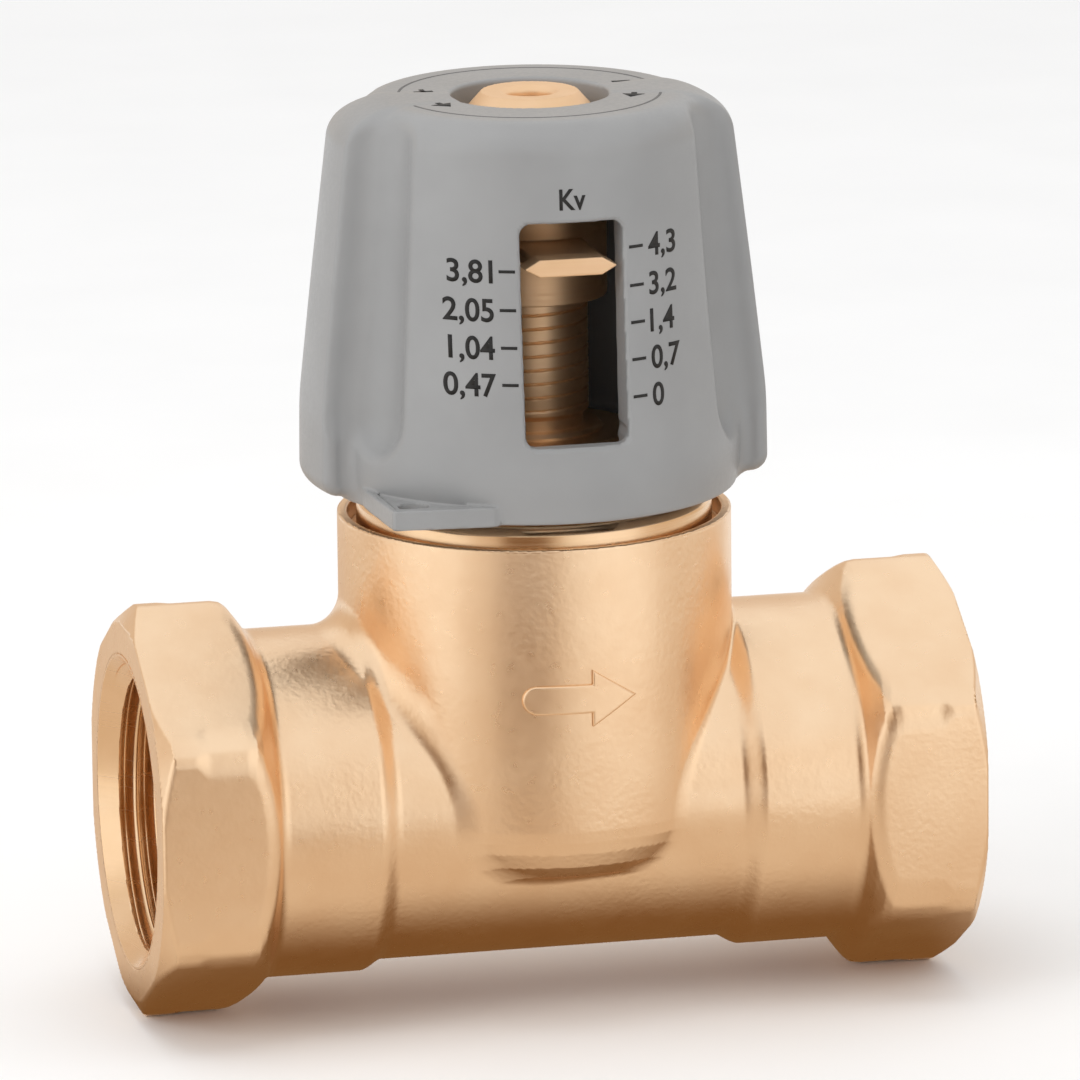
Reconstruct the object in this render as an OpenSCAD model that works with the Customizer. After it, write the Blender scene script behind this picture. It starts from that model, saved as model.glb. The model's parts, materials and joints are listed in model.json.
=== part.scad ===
/* [Valve body] */
// Length over the two end faces
body_length = 75; // [72:0.5:84]
// Hexagon width across flats
hex_af = 33.6; // [32.6:0.2:36]
// Height over the turned-down hexagon corners
hex_height = 37.7; // [36.8:0.1:38.6]
// Length of each hexagon up to its rounded shoulder
hex_band = 8.1; // [6:0.1:9]
// Radius of the rounded shoulder behind each hexagon
hex_shoulder_r = 3; // [2:0.1:3.2]
// Length of the turned chamfer at each end face
end_chamfer = 1.1; // [0.6:0.1:1.6]
// Radius of the flat end face
end_face_r = 17; // [15.8:0.1:17.4]
// Radius of the two arms beside the boss
arm_r = 15.6; // [15:0.1:15.8]
// Radius of the waist under the boss
waist_r = 14.7; // [13.8:0.1:14.9]
// Where the arm starts, from the stem axis
arm_start = 17.6; // [17:0.1:20]
// Length of the taper between waist and arm
arm_taper = 2.2; // [1.5:0.1:5]
// Radius of the round boss
boss_r = 17.6; // [17.4:0.1:18.4]
// Height of the boss rim above the pipe axis
boss_top = 25.7; // [25:0.1:27]
// Depth of the boss wall below the pipe axis
boss_foot = 0.6; // [0.2:0.1:2]
// Height of the rounded chin under the boss
chin_h = 4.6; // [3:0.1:5.4]
// Radius where the chin ends
chin_r = 13.5; // [12.5:0.1:14.2]
// Height that the flow arrow stands proud
arrow_relief = 0.35; // [0.2:0.05:0.6]
// Length of the flow arrow
arrow_length = 10.3; // [8:0.1:12]
// Width of the flow arrow's shaft
arrow_shaft = 2.6; // [2:0.1:3.2]
// Width of the flow arrow's head
arrow_head = 5.2; // [4:0.1:6]

/* [Ports] */
// Minor radius of the port thread
port_minor_r = 12.06; // [11.6:0.02:12.3]
// Major radius of the port thread
port_major_r = 13.22; // [12.9:0.02:13.3]
// Pitch of the port thread
port_pitch = 1.814; // [1.5:0.001:2]
// Depth of each threaded port
port_depth = 15.5; // [12:0.1:16]
// Radius of the countersunk mouth
port_mouth_r = 13.5; // [13.4:0.05:13.9]
// Radius of the flow passage behind each port
passage_r = 10; // [9:0.1:10.6]

/* [Seat] */
// Radius of the seat opening
seat_r = 7.5; // [7.2:0.1:8]
// Width of the raised seat lip
seat_lip_w = 1.6; // [1.2:0.1:2]
// Height of the raised seat lip
seat_lip_h = 0.8; // [0.5:0.1:1.2]
// Depth of the weir floor below the pipe axis
weir_drop = 2; // [1.5:0.1:2.6]
// Thickness of the weir
weir_t = 2.5; // [2:0.1:3]
// Radius of the chamber above the seat
chamber_r = 12; // [11.4:0.1:12.4]
// Radius of the chamber below the seat
low_chamber_r = 11.5; // [10.8:0.1:11.8]

/* [Bonnet] */
// Crest radius of the bonnet's screw thread
screw_r = 14.4; // [14:0.1:14.8]
// Pitch of the bonnet's screw thread
screw_pitch = 1.5; // [1:0.1:1.6]
// Radius of the bonnet flange
flange_r = 15.9; // [15.6:0.1:16.2]
// Thickness of the bonnet flange
flange_t = 3.3; // [2.8:0.1:4]
// Chamfer on the flange's top edge
flange_chamfer = 0.7; // [0.3:0.1:1]
// Depth of the recess that takes the flange
recess_depth = 1.9; // [1.4:0.1:2.6]
// Wall left round the recess
recess_wall = 0.9; // [0.6:0.1:1.2]
// Radius of the spigot that carries the knob
spigot_r = 12; // [11.4:0.1:12.3]
// Crest radius of the neck's thread
neck_r = 5; // [4.6:0.1:5.3]
// Pitch of the neck's thread
neck_pitch = 1.25; // [1:0.05:1.5]
// Radius of the bore that holds the stem seals
gland_r = 5; // [4.6:0.1:5.6]

/* [Knob] */
// Height of the knob
knob_h = 35.2; // [34:0.1:37]
// Radius of the knob's skirt
knob_r = 18.5; // [18:0.1:19.2]
// Radius over the two wings at their foot
wing_r = 20.9; // [20:0.1:22]
// Angle that each wing takes up
wing_angle = 32; // [24:1:36]
// Radius of the knob's flat top
knob_top_r = 12.6; // [12:0.1:13.2]
// Radius of the hole in the knob's top
knob_hole_r = 7; // [6.95:0.05:7.4]
// Radius of the flutes
flute_r = 4.4; // [3.6:0.1:5]
// Angle from the window to each flute
flute_angle = 63; // [58:1:68]
// Height of the plain skirt under the flutes
flute_foot = 4.2; // [3:0.1:6]
// Wall of the knob behind the window
knob_wall = 2.9; // [2.4:0.1:3.2]
// Thickness of the knob's top
knob_top_t = 3; // [2.4:0.1:3.6]
// Width of the window
window_w = 9.2; // [8.8:0.1:10]
// Height of the window
window_h = 19.7; // [18.6:0.1:20.4]
// Height of the window's sill above the knob's bottom
window_sill = 6.9; // [6:0.1:7.4]
// Distance of the lug's two faces from the stem axis
lug_reach = 16.3; // [16:0.1:17]
// Thickness of the lug
lug_t = 1.9; // [1.4:0.1:2.4]
// Radius of the hole for a seal wire
lug_hole_r = 1.3; // [0.8:0.1:1.4]

/* [Stem] */
// Radius of the stem
stem_r = 2.5; // [2.2:0.1:2.7]
// Radius of the stem's two threaded ends
stem_end_r = 1.95; // [1.8:0.05:2]
// Outer radius of the indicator nut
nut_r = 6.8; // [6.4:0.1:6.85]
// Height of the indicator nut
nut_h = 18.3; // [17.6:0.1:19]
// Radius of the nut's flat top
nut_flat_r = 4.3; // [3.8:0.1:4.8]
// Height of the pointer's centre above the nut's rim
pointer_rise = 5.4; // [4.6:0.1:6]
// Travel from the shown setting down to closed
close_travel = 11.6; // [10:0.1:12]
// Travel from the shown setting up to fully open
open_travel = 1.7; // [0.5:0.1:2]

/* [Plug] */
// Radius of the plug
plug_r = 10.4; // [10:0.1:10.8]
// Height of the plug
plug_h = 4; // [3.6:0.1:4.4]
// Outer radius of the seat seal
seal_r = 9.7; // [9.5:0.1:9.8]
// Thickness of the seat seal
seal_t = 2; // [1.6:0.1:2.4]
// Radius of the regulating cone at its top
cone_r = 7.1; // [6.6:0.1:7.1]
// Height of the regulating cone
cone_h = 4; // [3:0.1:4.4]

/* [Hidden] */

$fn = 96;
arc_steps = 10;
half_share = 0.5;

// Clearances
run_gap = 0.05;
seat_gap = 0.03;
slot_gap = 0.4;
overrun = 1;

// Heights are counted from the pipe axis, which lies this far above the lowest corners
axis_h = hex_height / 2;
half_length = body_length / 2;
hex_r = hex_height / 2;
hex_corner_r = hex_af / sqrt(3);
hex_start = half_length - hex_band;

// Weir and seat
weir_top_z = -weir_drop;
weir_bottom_z = weir_top_z - weir_t;
seat_z = weir_top_z + seat_lip_h;
weir_wall = 2.5;
inlet_passage_end = chamber_r + weir_wall;
seat_wall = 1;
low_chamber_end = seat_r + seat_wall;
outlet_passage_start = low_chamber_end + weir_wall;
port_mouth_depth = port_mouth_r - port_minor_r;
port_runout = port_depth - port_pitch;
port_groove_w = 0.46;
thread_open_share = 0.75;

// Chin under the boss, and the flow arrow
chin_bow = 0.5;
arrow_head_share = 0.79;
arrow_z_share = 0.47;
arrow_z = boss_top * arrow_z_share;

// Plug and its stack on the stem, at the shown setting
closed_gap = 0.05;
seal_z = seat_z + closed_gap + close_travel;
plug_top_z = seal_z + plug_h;
plug_rim_rise = 0.4;
cone_lap = 0.2;
cone_z = seal_z + cone_lap - cone_h;
washer_t = 0.8;
washer_r = 3.8;
plug_nut_h = 2.4;
plug_nut_af = 7;
washer_z = cone_z - washer_t;
plug_nut_z = washer_z - plug_nut_h;
stem_tip = 0.4;
seal_hub_r = 4.5;
cone_foot_share = 0.62;

// Bonnet, from its foot to the top of its neck
plug_gap = 0.35;
bonnet_foot_z = plug_top_z + open_travel + plug_gap;
bonnet_seat_z = boss_top - recess_depth;
ring_seat_h = 1.36;
ring_seat_r = screw_r - ring_seat_h;
screw_top_z = bonnet_seat_z - ring_seat_h;
screw_depth = 0.75;
screw_chamfer = 0.6;
flange_top_z = bonnet_seat_z + flange_t;
shoulder_h = 0.7;
thrust_w = 1.6;
shoulder_r = spigot_r + thrust_w;
shoulder_z = flange_top_z + shoulder_h;
thrust_t = 0.8;
web_z = shoulder_z + thrust_t + run_gap;
web_t = 3.1;
web_top_z = web_z + web_t;
spigot_proud = 0.15;
spigot_top_z = web_top_z + spigot_proud;
drive_h = 1;
drive_af = 17;
collar_h = 0.5;
collar_w = 1.2;
collar_r = neck_r + collar_w;
collar_chamfer = 0.3;
neck_z = spigot_top_z + drive_h + collar_h;
nut_gap = 0.1;
nut_z = neck_z + nut_gap + close_travel;
nut_top_z = nut_z + nut_h;
nut_cap_t = 2.4;
cap_z = nut_top_z - nut_cap_t;
neck_top_gap = 0.2;
neck_top_z = cap_z - close_travel - neck_top_gap;
neck_depth = 0.5;
neck_undercut = 0.9;
neck_bore_r = stem_r + run_gap;

// Stem seals in the gland bore
clip_land = 0.5;
clip_t = 1;
clip_depth = 0.5;
clip_w = 1.3;
clip_gap_share = 0.5;
gland_washer_t = 1;
seal_d = gland_r - stem_r - 2 * seat_gap;
spacer_t = 1.5;
bush_l = 3;
clip_z = bonnet_foot_z + clip_land;
gland_washer_z = clip_z + clip_t;
low_seal_z = gland_washer_z + gland_washer_t + seat_gap;
spacer_z = low_seal_z + seal_d + seat_gap;
high_seal_z = spacer_z + spacer_t + seat_gap;
bush_z = high_seal_z + seal_d + seat_gap;
gland_top_z = bush_z + bush_l;

// Friction ring and snap ring between spigot and knob
friction_d = 1;
friction_land = 0.35;
friction_z = web_z + friction_land;
snap_h = 1;
snap_land = 0.4;
snap_z = web_top_z - snap_land - snap_h;
snap_bite = 0.5;
snap_reach = 0.6;
snap_in_r = spigot_r - snap_bite;
snap_out_r = spigot_r + snap_reach;
knob_bore_r = spigot_r + run_gap;

// Knob
skirt_reach = 0.65;
knob_z = web_z - skirt_reach;
knob_top_z = knob_z + knob_h;
knob_shoulder_r = 3;
knob_shoulder_start = 8;
wing_shoulder_start = 6;
knob_disc_rise = 0.15;
knob_dish_depth = 0.15;
ring_groove = 0.25;
mark_ring_r = 11.4;
wing_foot_rise = 0.7;
wing_foot_r = 1.6;
flute_floor_low = 16.3;
flute_floor_high = 14.7;
lug_corner_r = 1.5;
lug_drop = 0.1;
lug_hole_at = (knob_r + run_gap + lug_hole_r) / sqrt(2);
thrust_recess_r = shoulder_r + slot_gap;
window_corner_r = 1;
cavity_draft = 1.6;
keyway_wall = 2.2;

// Outline of the knob: shares of its skirt radius, and of its height
knob_r_shares = [1, 1, 0.975, 0.925, 0.87];
knob_z_shares = [0, 0.14, 0.26, 0.52, 0.9];
// Outline of a wing: shares of the wing's foot radius, and of the knob's height
wing_r_shares = [1, 0.995, 0.938, 0.862];
wing_z_shares = [0, 0.23, 0.54, 0.92];

// Pointer
pointer_t = 1.6;
pointer_front = 15.6;
pointer_plate = 2.4;
pointer_point = 1.4;
pointer_web_share = 0.62;
pointer_w = window_w - 2 * slot_gap;
pointer_z = nut_z + pointer_rise;
nut_cone_h = 2.8;
nut_rim_chamfer = 0.3;
dish_r = 2.6;
dish_depth = 0.9;
socket_af = 1.5;
socket_depth = 1;

// Arcs run from the angle a0 to a1 round the point c
function arc(c, r, a0, a1) = [
    for (i = [0 : arc_steps]) let (a = a0 + (a1 - a0) * i / arc_steps)
        [c[0] + r * cos(a), c[1] + r * sin(a)]
];

function bowed(p0, p1, bow) = [
    for (i = [0 : arc_steps]) let (t = i / arc_steps, b = bow * 4 * t * (1 - t), d = p1 - p0, l = norm(d))
        p0 + d * t + [-d[1], d[0]] / l * b
];

module raised() {
    translate([0, 0, axis_h]) children();
}

module ring(r_out, r_in, z, h) {
    translate([0, 0, z]) difference() {
        cylinder(r = r_out, h = h);
        translate([0, 0, -overrun]) cylinder(r = r_in, h = h + 2 * overrun);
    }
}

module o_ring(r_in, d, z) {
    translate([0, 0, z + d / 2]) rotate_extrude()
        translate([r_in + d / 2, 0]) circle(d = d, $fn = 32);
}

module along_x() {
    rotate([0, 90, 0]) children();
}

// Grooves of an outer thread, cut in from the crest radius
module outer_grooves(r, depth, pitch, z0, z1) {
    turns = floor((z1 - z0) / pitch);
    rotate_extrude() for (i = [0 : turns - 1]) let (z = z0 + (i + half_share) * pitch)
        polygon([
            [r + depth, z - pitch * thread_open_share],
            [r - depth, z],
            [r + depth, z + pitch * thread_open_share]
        ]);
}

// Narrow grooves of a port thread, cut outwards from the minor radius
module port_grooves() {
    turns = floor((port_runout - port_mouth_depth) / port_pitch);
    depth = port_major_r - port_minor_r;
    rotate_extrude() for (i = [0 : turns - 1]) let (z = port_mouth_depth + (i + 1) * port_pitch)
        polygon([
            [port_minor_r - depth, z - port_groove_w],
            [port_major_r, z],
            [port_minor_r - depth, z + port_groove_w]
        ]);
}

// One threaded port, from its face inwards
module port_cut() {
    translate([0, 0, -overrun])
        cylinder(r1 = port_mouth_r + overrun, r2 = port_minor_r, h = port_mouth_depth + overrun);
    translate([0, 0, -overrun]) cylinder(r = port_minor_r, h = port_depth + overrun);
    port_grooves();
}

module hexagon_ends() {
    intersection() {
        along_x() cylinder(r = hex_corner_r, h = body_length, center = true, $fn = 6);
        along_x() rotate_extrude() hexagon_envelope();
    }
}

// Turned outline of both hexagons: chamfer, corner radius and rounded shoulder
module hexagon_envelope() {
    shoulder_c = hex_r - hex_shoulder_r;
    half = concat(
        [[0, half_length], [end_face_r, half_length], [hex_r, half_length - end_chamfer]],
        arc([shoulder_c, hex_start], hex_shoulder_r, 0, -90),
        [[0, hex_start - hex_shoulder_r]]
    );
    polygon(half);
    mirror([0, 1]) polygon(half);
}

module arms() {
    half = [
        [0, 0], [waist_r, 0], [waist_r, arm_start - arm_taper], [arm_r, arm_start],
        [arm_r, half_length - end_chamfer], [0, half_length - end_chamfer]
    ];
    along_x() rotate_extrude() {
        polygon(half);
        mirror([0, 1]) polygon(half);
    }
}

module boss() {
    chin = bowed([chin_r, -boss_foot - chin_h], [boss_r, -boss_foot], -chin_bow);
    rotate_extrude() polygon(concat([[0, -boss_foot - chin_h]], chin, [[boss_r, boss_top], [0, boss_top]]));
}

// The flow arrow, proud of the boss on its front
module flow_arrow() {
    head_l = arrow_head * arrow_head_share;
    tail = -arrow_length / 2 + arrow_shaft / 2;
    neck = arrow_length / 2 - head_l;
    intersection() {
        translate([0, 0, arrow_z]) rotate([90, 0, 0]) linear_extrude(boss_r + 2 * arrow_relief) {
            translate([tail, 0]) circle(d = arrow_shaft);
            translate([tail, -arrow_shaft / 2]) square([neck - tail, arrow_shaft]);
            polygon([[neck, -arrow_head / 2], [arrow_length / 2, 0], [neck, arrow_head / 2]]);
        }
        difference() {
            cylinder(r = boss_r + arrow_relief, h = boss_top);
            translate([0, 0, -overrun]) cylinder(r = boss_r - recess_wall, h = boss_top + 2 * overrun);
        }
    }
}

// Flow passages: inlet under the weir, seat, chamber and outlet
module passages() {
    translate([-half_length, 0, 0]) along_x() {
        port_cut();
        translate([0, 0, port_depth - overrun])
            cylinder(r = passage_r, h = half_length - inlet_passage_end - port_depth + overrun);
    }
    translate([half_length, 0, 0]) mirror([1, 0, 0]) along_x() {
        port_cut();
        translate([0, 0, port_depth - overrun])
            cylinder(r = passage_r, h = half_length - outlet_passage_start - port_depth + overrun);
    }
    intersection() {
        translate([-inlet_passage_end - overrun, 0, 0]) along_x()
            cylinder(r = low_chamber_r, h = inlet_passage_end + overrun + low_chamber_end);
        translate([-half_length, -low_chamber_r, -low_chamber_r - overrun])
            cube([body_length, 2 * low_chamber_r, low_chamber_r + overrun + weir_bottom_z]);
    }
    translate([0, 0, weir_bottom_z - overrun]) cylinder(r = seat_r, h = weir_t + seat_lip_h + 2 * overrun);
    difference() {
        translate([0, 0, weir_top_z]) cylinder(r = chamber_r, h = boss_top);
        translate([0, 0, weir_top_z - overrun])
            cylinder(r = seat_r + seat_lip_w, h = seat_lip_h + overrun);
    }
    intersection() {
        along_x() cylinder(r = passage_r, h = outlet_passage_start + overrun);
        translate([0, -passage_r, weir_top_z]) cube([body_length, 2 * passage_r, 2 * passage_r]);
        translate([0, 0, weir_top_z]) cylinder(r = outlet_passage_start + overrun, h = 2 * passage_r);
    }
}

module bonnet_socket() {
    translate([0, 0, bonnet_foot_z - screw_chamfer])
        cylinder(r = screw_r + run_gap, h = boss_top);
    translate([0, 0, bonnet_seat_z]) cylinder(r = boss_r - recess_wall, h = boss_top);
}

module valve_body() {
    color("#D9A975") raised() difference() {
        union() {
            hexagon_ends();
            arms();
            boss();
            flow_arrow();
        }
        passages();
        bonnet_socket();
    }
}

module bonnet() {
    color("#E2B680") raised() difference() {
        union() {
            bonnet_screw();
            bonnet_head();
        }
        translate([0, 0, bonnet_foot_z - overrun])
            cylinder(r = gland_r, h = gland_top_z - bonnet_foot_z + overrun);
        translate([0, 0, clip_z]) cylinder(r = gland_r + clip_depth, h = clip_t);
        translate([0, 0, bonnet_foot_z]) cylinder(r = neck_bore_r, h = neck_top_z);
    }
}

// Screwed part of the bonnet with the seat for its ring
module bonnet_screw() {
    difference() {
        rotate_extrude() polygon([
            [0, bonnet_foot_z], [screw_r - screw_chamfer, bonnet_foot_z],
            [screw_r, bonnet_foot_z + screw_chamfer], [screw_r, screw_top_z],
            [ring_seat_r, screw_top_z], [ring_seat_r, bonnet_seat_z], [0, bonnet_seat_z]
        ]);
        outer_grooves(screw_r, screw_depth, screw_pitch, bonnet_foot_z + screw_chamfer, screw_top_z);
    }
}

// Flange, spigot, drive hexagon and threaded neck
module bonnet_head() {
    difference() {
        union() {
            rotate_extrude() polygon([
                [0, bonnet_seat_z], [flange_r, bonnet_seat_z],
                [flange_r, flange_top_z - flange_chamfer],
                [flange_r - flange_chamfer, flange_top_z],
                [shoulder_r, flange_top_z], [shoulder_r, shoulder_z],
                [spigot_r, shoulder_z], [spigot_r, spigot_top_z], [0, spigot_top_z]
            ]);
            translate([0, 0, spigot_top_z])
                cylinder(r = drive_af / sqrt(3), h = drive_h, $fn = 6);
            rotate_extrude() polygon([
                [0, spigot_top_z], [collar_r, spigot_top_z],
                [collar_r, neck_z - collar_chamfer], [collar_r - collar_chamfer, neck_z],
                [neck_r - neck_depth, neck_z], [neck_r - neck_depth, neck_z + neck_undercut],
                [neck_r, neck_z + neck_undercut + neck_depth],
                [neck_r, neck_top_z - neck_depth], [neck_r - neck_depth, neck_top_z], [0, neck_top_z]
            ]);
        }
        ring(spigot_r + overrun, spigot_r - friction_d, friction_z, friction_d + 2 * seat_gap);
        ring(spigot_r + overrun, snap_in_r - run_gap, snap_z - run_gap, snap_h + 2 * run_gap);
        outer_grooves(neck_r, neck_depth, neck_pitch, neck_z + neck_undercut, neck_top_z - neck_depth);
    }
}

module bonnet_o_ring() {
    d = ring_seat_h - 2 * seat_gap;
    color("#1C1C1C") raised() o_ring(ring_seat_r + seat_gap, d, screw_top_z + seat_gap);
}

module stem_guide_bush() {
    color("#E8E4DA") raised() ring(gland_r - seat_gap, neck_bore_r, bush_z, bush_l);
}

module stem_o_ring_upper() {
    color("#1C1C1C") raised() o_ring(stem_r + seat_gap, seal_d, high_seal_z);
}

module stem_spacer_ring() {
    color("#E2B680") raised() ring(gland_r - seat_gap, neck_bore_r, spacer_z, spacer_t);
}

module stem_o_ring_lower() {
    color("#1C1C1C") raised() o_ring(stem_r + seat_gap, seal_d, low_seal_z);
}

module gland_washer() {
    color("#E2B680") raised() ring(gland_r - seat_gap, neck_bore_r, gland_washer_z, gland_washer_t);
}

// Inner circlip: an open ring with two eyes
module gland_circlip() {
    gap = clip_gap_share * gland_r;
    clip_out_r = gland_r + clip_depth - seat_gap;
    color("#B9BCC0") raised() translate([0, 0, clip_z + seat_gap]) difference() {
        cylinder(r = clip_out_r, h = clip_t - 2 * seat_gap);
        translate([0, 0, -overrun]) cylinder(r = clip_out_r - clip_w, h = clip_t + 2 * overrun);
        translate([0, -gap / 2, -overrun]) cube([2 * gland_r, gap, clip_t + 2 * overrun]);
    }
}

module knob_thrust_washer() {
    color("#EDEBE4") raised() ring(shoulder_r - seat_gap, spigot_r + run_gap, shoulder_z, thrust_t);
}

module knob_friction_o_ring() {
    d = friction_d - seat_gap;
    color("#1C1C1C") raised()
        o_ring(spigot_r - friction_d + seat_gap, d, friction_z + seat_gap);
}

// Round body of the knob with its rounded shoulder
module knob_round() {
    side = [for (i = [0 : len(knob_r_shares) - 1])
        [knob_r * knob_r_shares[i], knob_z + knob_h * knob_z_shares[i]]];
    rim_z = knob_top_z - knob_disc_rise;
    shoulder_c = [side[len(side) - 1][0] - knob_shoulder_r, rim_z - knob_shoulder_r];
    rotate_extrude() polygon(concat(
        [[0, knob_z]], side,
        arc(shoulder_c, knob_shoulder_r, knob_shoulder_start, 90),
        [[knob_top_r, rim_z], [knob_top_r - knob_disc_rise, knob_top_z], [0, knob_top_z]]
    ));
}

// The two wings: a wider turned body kept only near the X axis
module knob_wings() {
    top_z = knob_top_z - knob_disc_rise;
    side = [for (i = [0 : len(wing_r_shares) - 1])
        [wing_r * wing_r_shares[i], knob_z + knob_h * wing_z_shares[i]]];
    foot = arc([wing_r - wing_foot_r, knob_z + wing_foot_rise + wing_foot_r], wing_foot_r, -90, 0);
    shoulder_c = [side[len(side) - 1][0] - knob_shoulder_r, top_z - knob_shoulder_r];
    reach = 2 * wing_r;
    intersection() {
        rotate_extrude() polygon(concat(
            [[0, knob_z + wing_foot_rise]], foot, [for (i = [1 : len(side) - 1]) side[i]],
            arc(shoulder_c, knob_shoulder_r, wing_shoulder_start, 90),
            [[0, top_z]]
        ));
        for (s = [-1, 1]) linear_extrude(2 * knob_top_z) polygon([
            [0, 0],
            [s * reach * cos(wing_angle / 2), reach * sin(wing_angle / 2)],
            [s * reach * cos(wing_angle / 2), -reach * sin(wing_angle / 2)]
        ]);
    }
}

// One flute leans with the knob's side and ends in a ball above the skirt
module flute() {
    foot_z = knob_z + flute_foot + flute_r;
    rise = knob_top_z - foot_z;
    lean = atan((flute_floor_low - flute_floor_high) / rise);
    translate([0, -flute_floor_low - flute_r, foot_z]) rotate([-lean, 0, 0]) {
        sphere(r = flute_r);
        cylinder(r = flute_r, h = 2 * rise);
    }
}

// Square corner at the foot of the knob, with a drilled eye for a seal wire
module lug() {
    inner = lug_reach - lug_corner_r;
    translate([0, 0, knob_z - lug_drop]) linear_extrude(lug_t) {
        translate([-inner, -inner]) circle(r = lug_corner_r);
        translate([-lug_reach, -inner]) square([lug_reach, inner]);
        translate([-inner, -lug_reach]) square([inner, lug_reach]);
    }
}

module knob_window() {
    low = knob_z + window_sill;
    rotate([90, 0, 0]) linear_extrude(2 * knob_r) {
        for (s = [-1, 1], t = [0, 1])
            translate([
                s * (window_w / 2 - window_corner_r),
                low + window_corner_r + t * (window_h - 2 * window_corner_r)
            ]) circle(r = window_corner_r);
        translate([-window_w / 2, low + window_corner_r])
            square([window_w, window_h - 2 * window_corner_r]);
        translate([-window_w / 2 + window_corner_r, low])
            square([window_w - 2 * window_corner_r, window_h]);
    }
}

// Groove inside the wall, through which the pointer enters from below
module pointer_keyway() {
    translate([-window_w / 2, -knob_r + keyway_wall, knob_z - overrun])
        cube([window_w, knob_r - keyway_wall, window_sill + 2 * overrun]);
}

module knob_hollow() {
    cavity_r = knob_r_shares[3] * knob_r - knob_wall;
    ceiling_z = knob_top_z - knob_top_t;
    translate([0, 0, web_top_z])
        cylinder(r1 = cavity_r, r2 = cavity_r - cavity_draft, h = ceiling_z - web_top_z);
    translate([0, 0, knob_z - lug_drop - overrun])
        cylinder(r = thrust_recess_r, h = web_z - knob_z + lug_drop + overrun);
    translate([0, 0, knob_z]) cylinder(r = knob_bore_r, h = web_top_z - knob_z + overrun);
    translate([0, 0, snap_z - run_gap / 2])
        cylinder(r = snap_out_r + run_gap, h = snap_h + run_gap);
    translate([0, 0, knob_z]) cylinder(r = knob_hole_r, h = knob_h + overrun);
    ring(mark_ring_r + ring_groove, mark_ring_r, knob_top_z - knob_dish_depth, overrun);
}

module knob() {
    color("#9C9C9C") raised() difference() {
        union() {
            difference() {
                union() {
                    knob_round();
                    knob_wings();
                }
                for (a = [flute_angle, 180 - flute_angle], s = [-1, 1]) rotate([0, 0, s * a]) flute();
            }
            lug();
        }
        knob_hollow();
        knob_window();
        pointer_keyway();
        translate([-lug_hole_at, -lug_hole_at, knob_z - lug_drop - overrun])
            cylinder(r = lug_hole_r, h = lug_t + 2 * overrun);
    }
}

// Open wire ring, half in the knob and half in the spigot
module knob_snap_ring() {
    gap = clip_gap_share * snap_in_r;
    color("#B9BCC0") raised() difference() {
        ring(snap_out_r, snap_in_r, snap_z, snap_h);
        translate([0, -gap / 2, snap_z - overrun]) cube([2 * spigot_r, gap, snap_h + 2 * overrun]);
    }
}

module indicator_nut() {
    color("#E8BC88") raised() difference() {
        union() {
            rotate_extrude() polygon([
                [0, nut_z], [nut_r - nut_rim_chamfer, nut_z], [nut_r, nut_z + nut_rim_chamfer],
                [nut_r, nut_top_z - nut_cone_h], [nut_flat_r, nut_top_z], [0, nut_top_z]
            ]);
            pointer();
        }
        translate([0, 0, nut_z - overrun]) cylinder(r = neck_r + run_gap, h = cap_z - nut_z + overrun);
        translate([0, 0, nut_z]) cylinder(r = stem_end_r + run_gap, h = nut_h + overrun);
        translate([0, 0, nut_top_z - dish_depth])
            cylinder(r1 = stem_end_r + run_gap, r2 = dish_r, h = dish_depth);
    }
}

// Bar with two pointed ends that runs in the window, on a web from the nut
module pointer() {
    w = pointer_w / 2;
    z = pointer_t / 2;
    translate([0, -pointer_front + pointer_plate, pointer_z]) rotate([90, 0, 0])
        linear_extrude(pointer_plate) polygon([
            [-w, 0], [-w + pointer_point, -z], [w - pointer_point, -z],
            [w, 0], [w - pointer_point, z], [-w + pointer_point, z]
        ]);
    translate([-w * pointer_web_share, -pointer_front + pointer_plate / 2, pointer_z - z])
        cube([2 * w * pointer_web_share, pointer_front - neck_r - pointer_plate, pointer_t]);
}

module stem() {
    tip_z = plug_nut_z - stem_tip;
    color("#D8B07C") raised() difference() {
        union() {
            translate([0, 0, plug_top_z]) cylinder(r = stem_r, h = cap_z - plug_top_z);
            translate([0, 0, tip_z]) cylinder(r = stem_end_r, h = nut_top_z - dish_depth - tip_z);
        }
        translate([0, 0, nut_top_z - dish_depth - socket_depth])
            cylinder(r = socket_af / sqrt(3), h = socket_depth + overrun, $fn = 6);
    }
}

module plug() {
    color("#D8B07C") raised() difference() {
        rotate_extrude() polygon([
            [stem_end_r + run_gap, seal_z + plug_rim_rise], [plug_r, seal_z + plug_rim_rise],
            [plug_r, plug_top_z - plug_rim_rise], [plug_r - plug_rim_rise, plug_top_z],
            [stem_end_r + run_gap, plug_top_z]
        ]);
        translate([0, 0, seal_z - overrun]) cylinder(r = seal_r, h = seal_t + overrun);
    }
}

module seat_seal() {
    color("#202020") raised() ring(seal_r, seal_hub_r + seat_gap, seal_z, seal_t);
}

// Cone with a hub that centres the seal
module throttle_cone() {
    foot_r = cone_r * cone_foot_share;
    color("#D8B07C") raised() difference() {
        rotate_extrude() polygon([
            [0, cone_z], [foot_r, cone_z], [cone_r, seal_z - cone_lap], [cone_r, seal_z],
            [seal_hub_r, seal_z], [seal_hub_r, seal_z + seal_t], [0, seal_z + seal_t]
        ]);
        translate([0, 0, cone_z - overrun]) cylinder(r = stem_end_r + run_gap, h = plug_h + cone_h);
    }
}

module plug_lock_washer() {
    color("#B9BCC0") raised() ring(washer_r, stem_end_r + run_gap, washer_z, washer_t);
}

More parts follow.
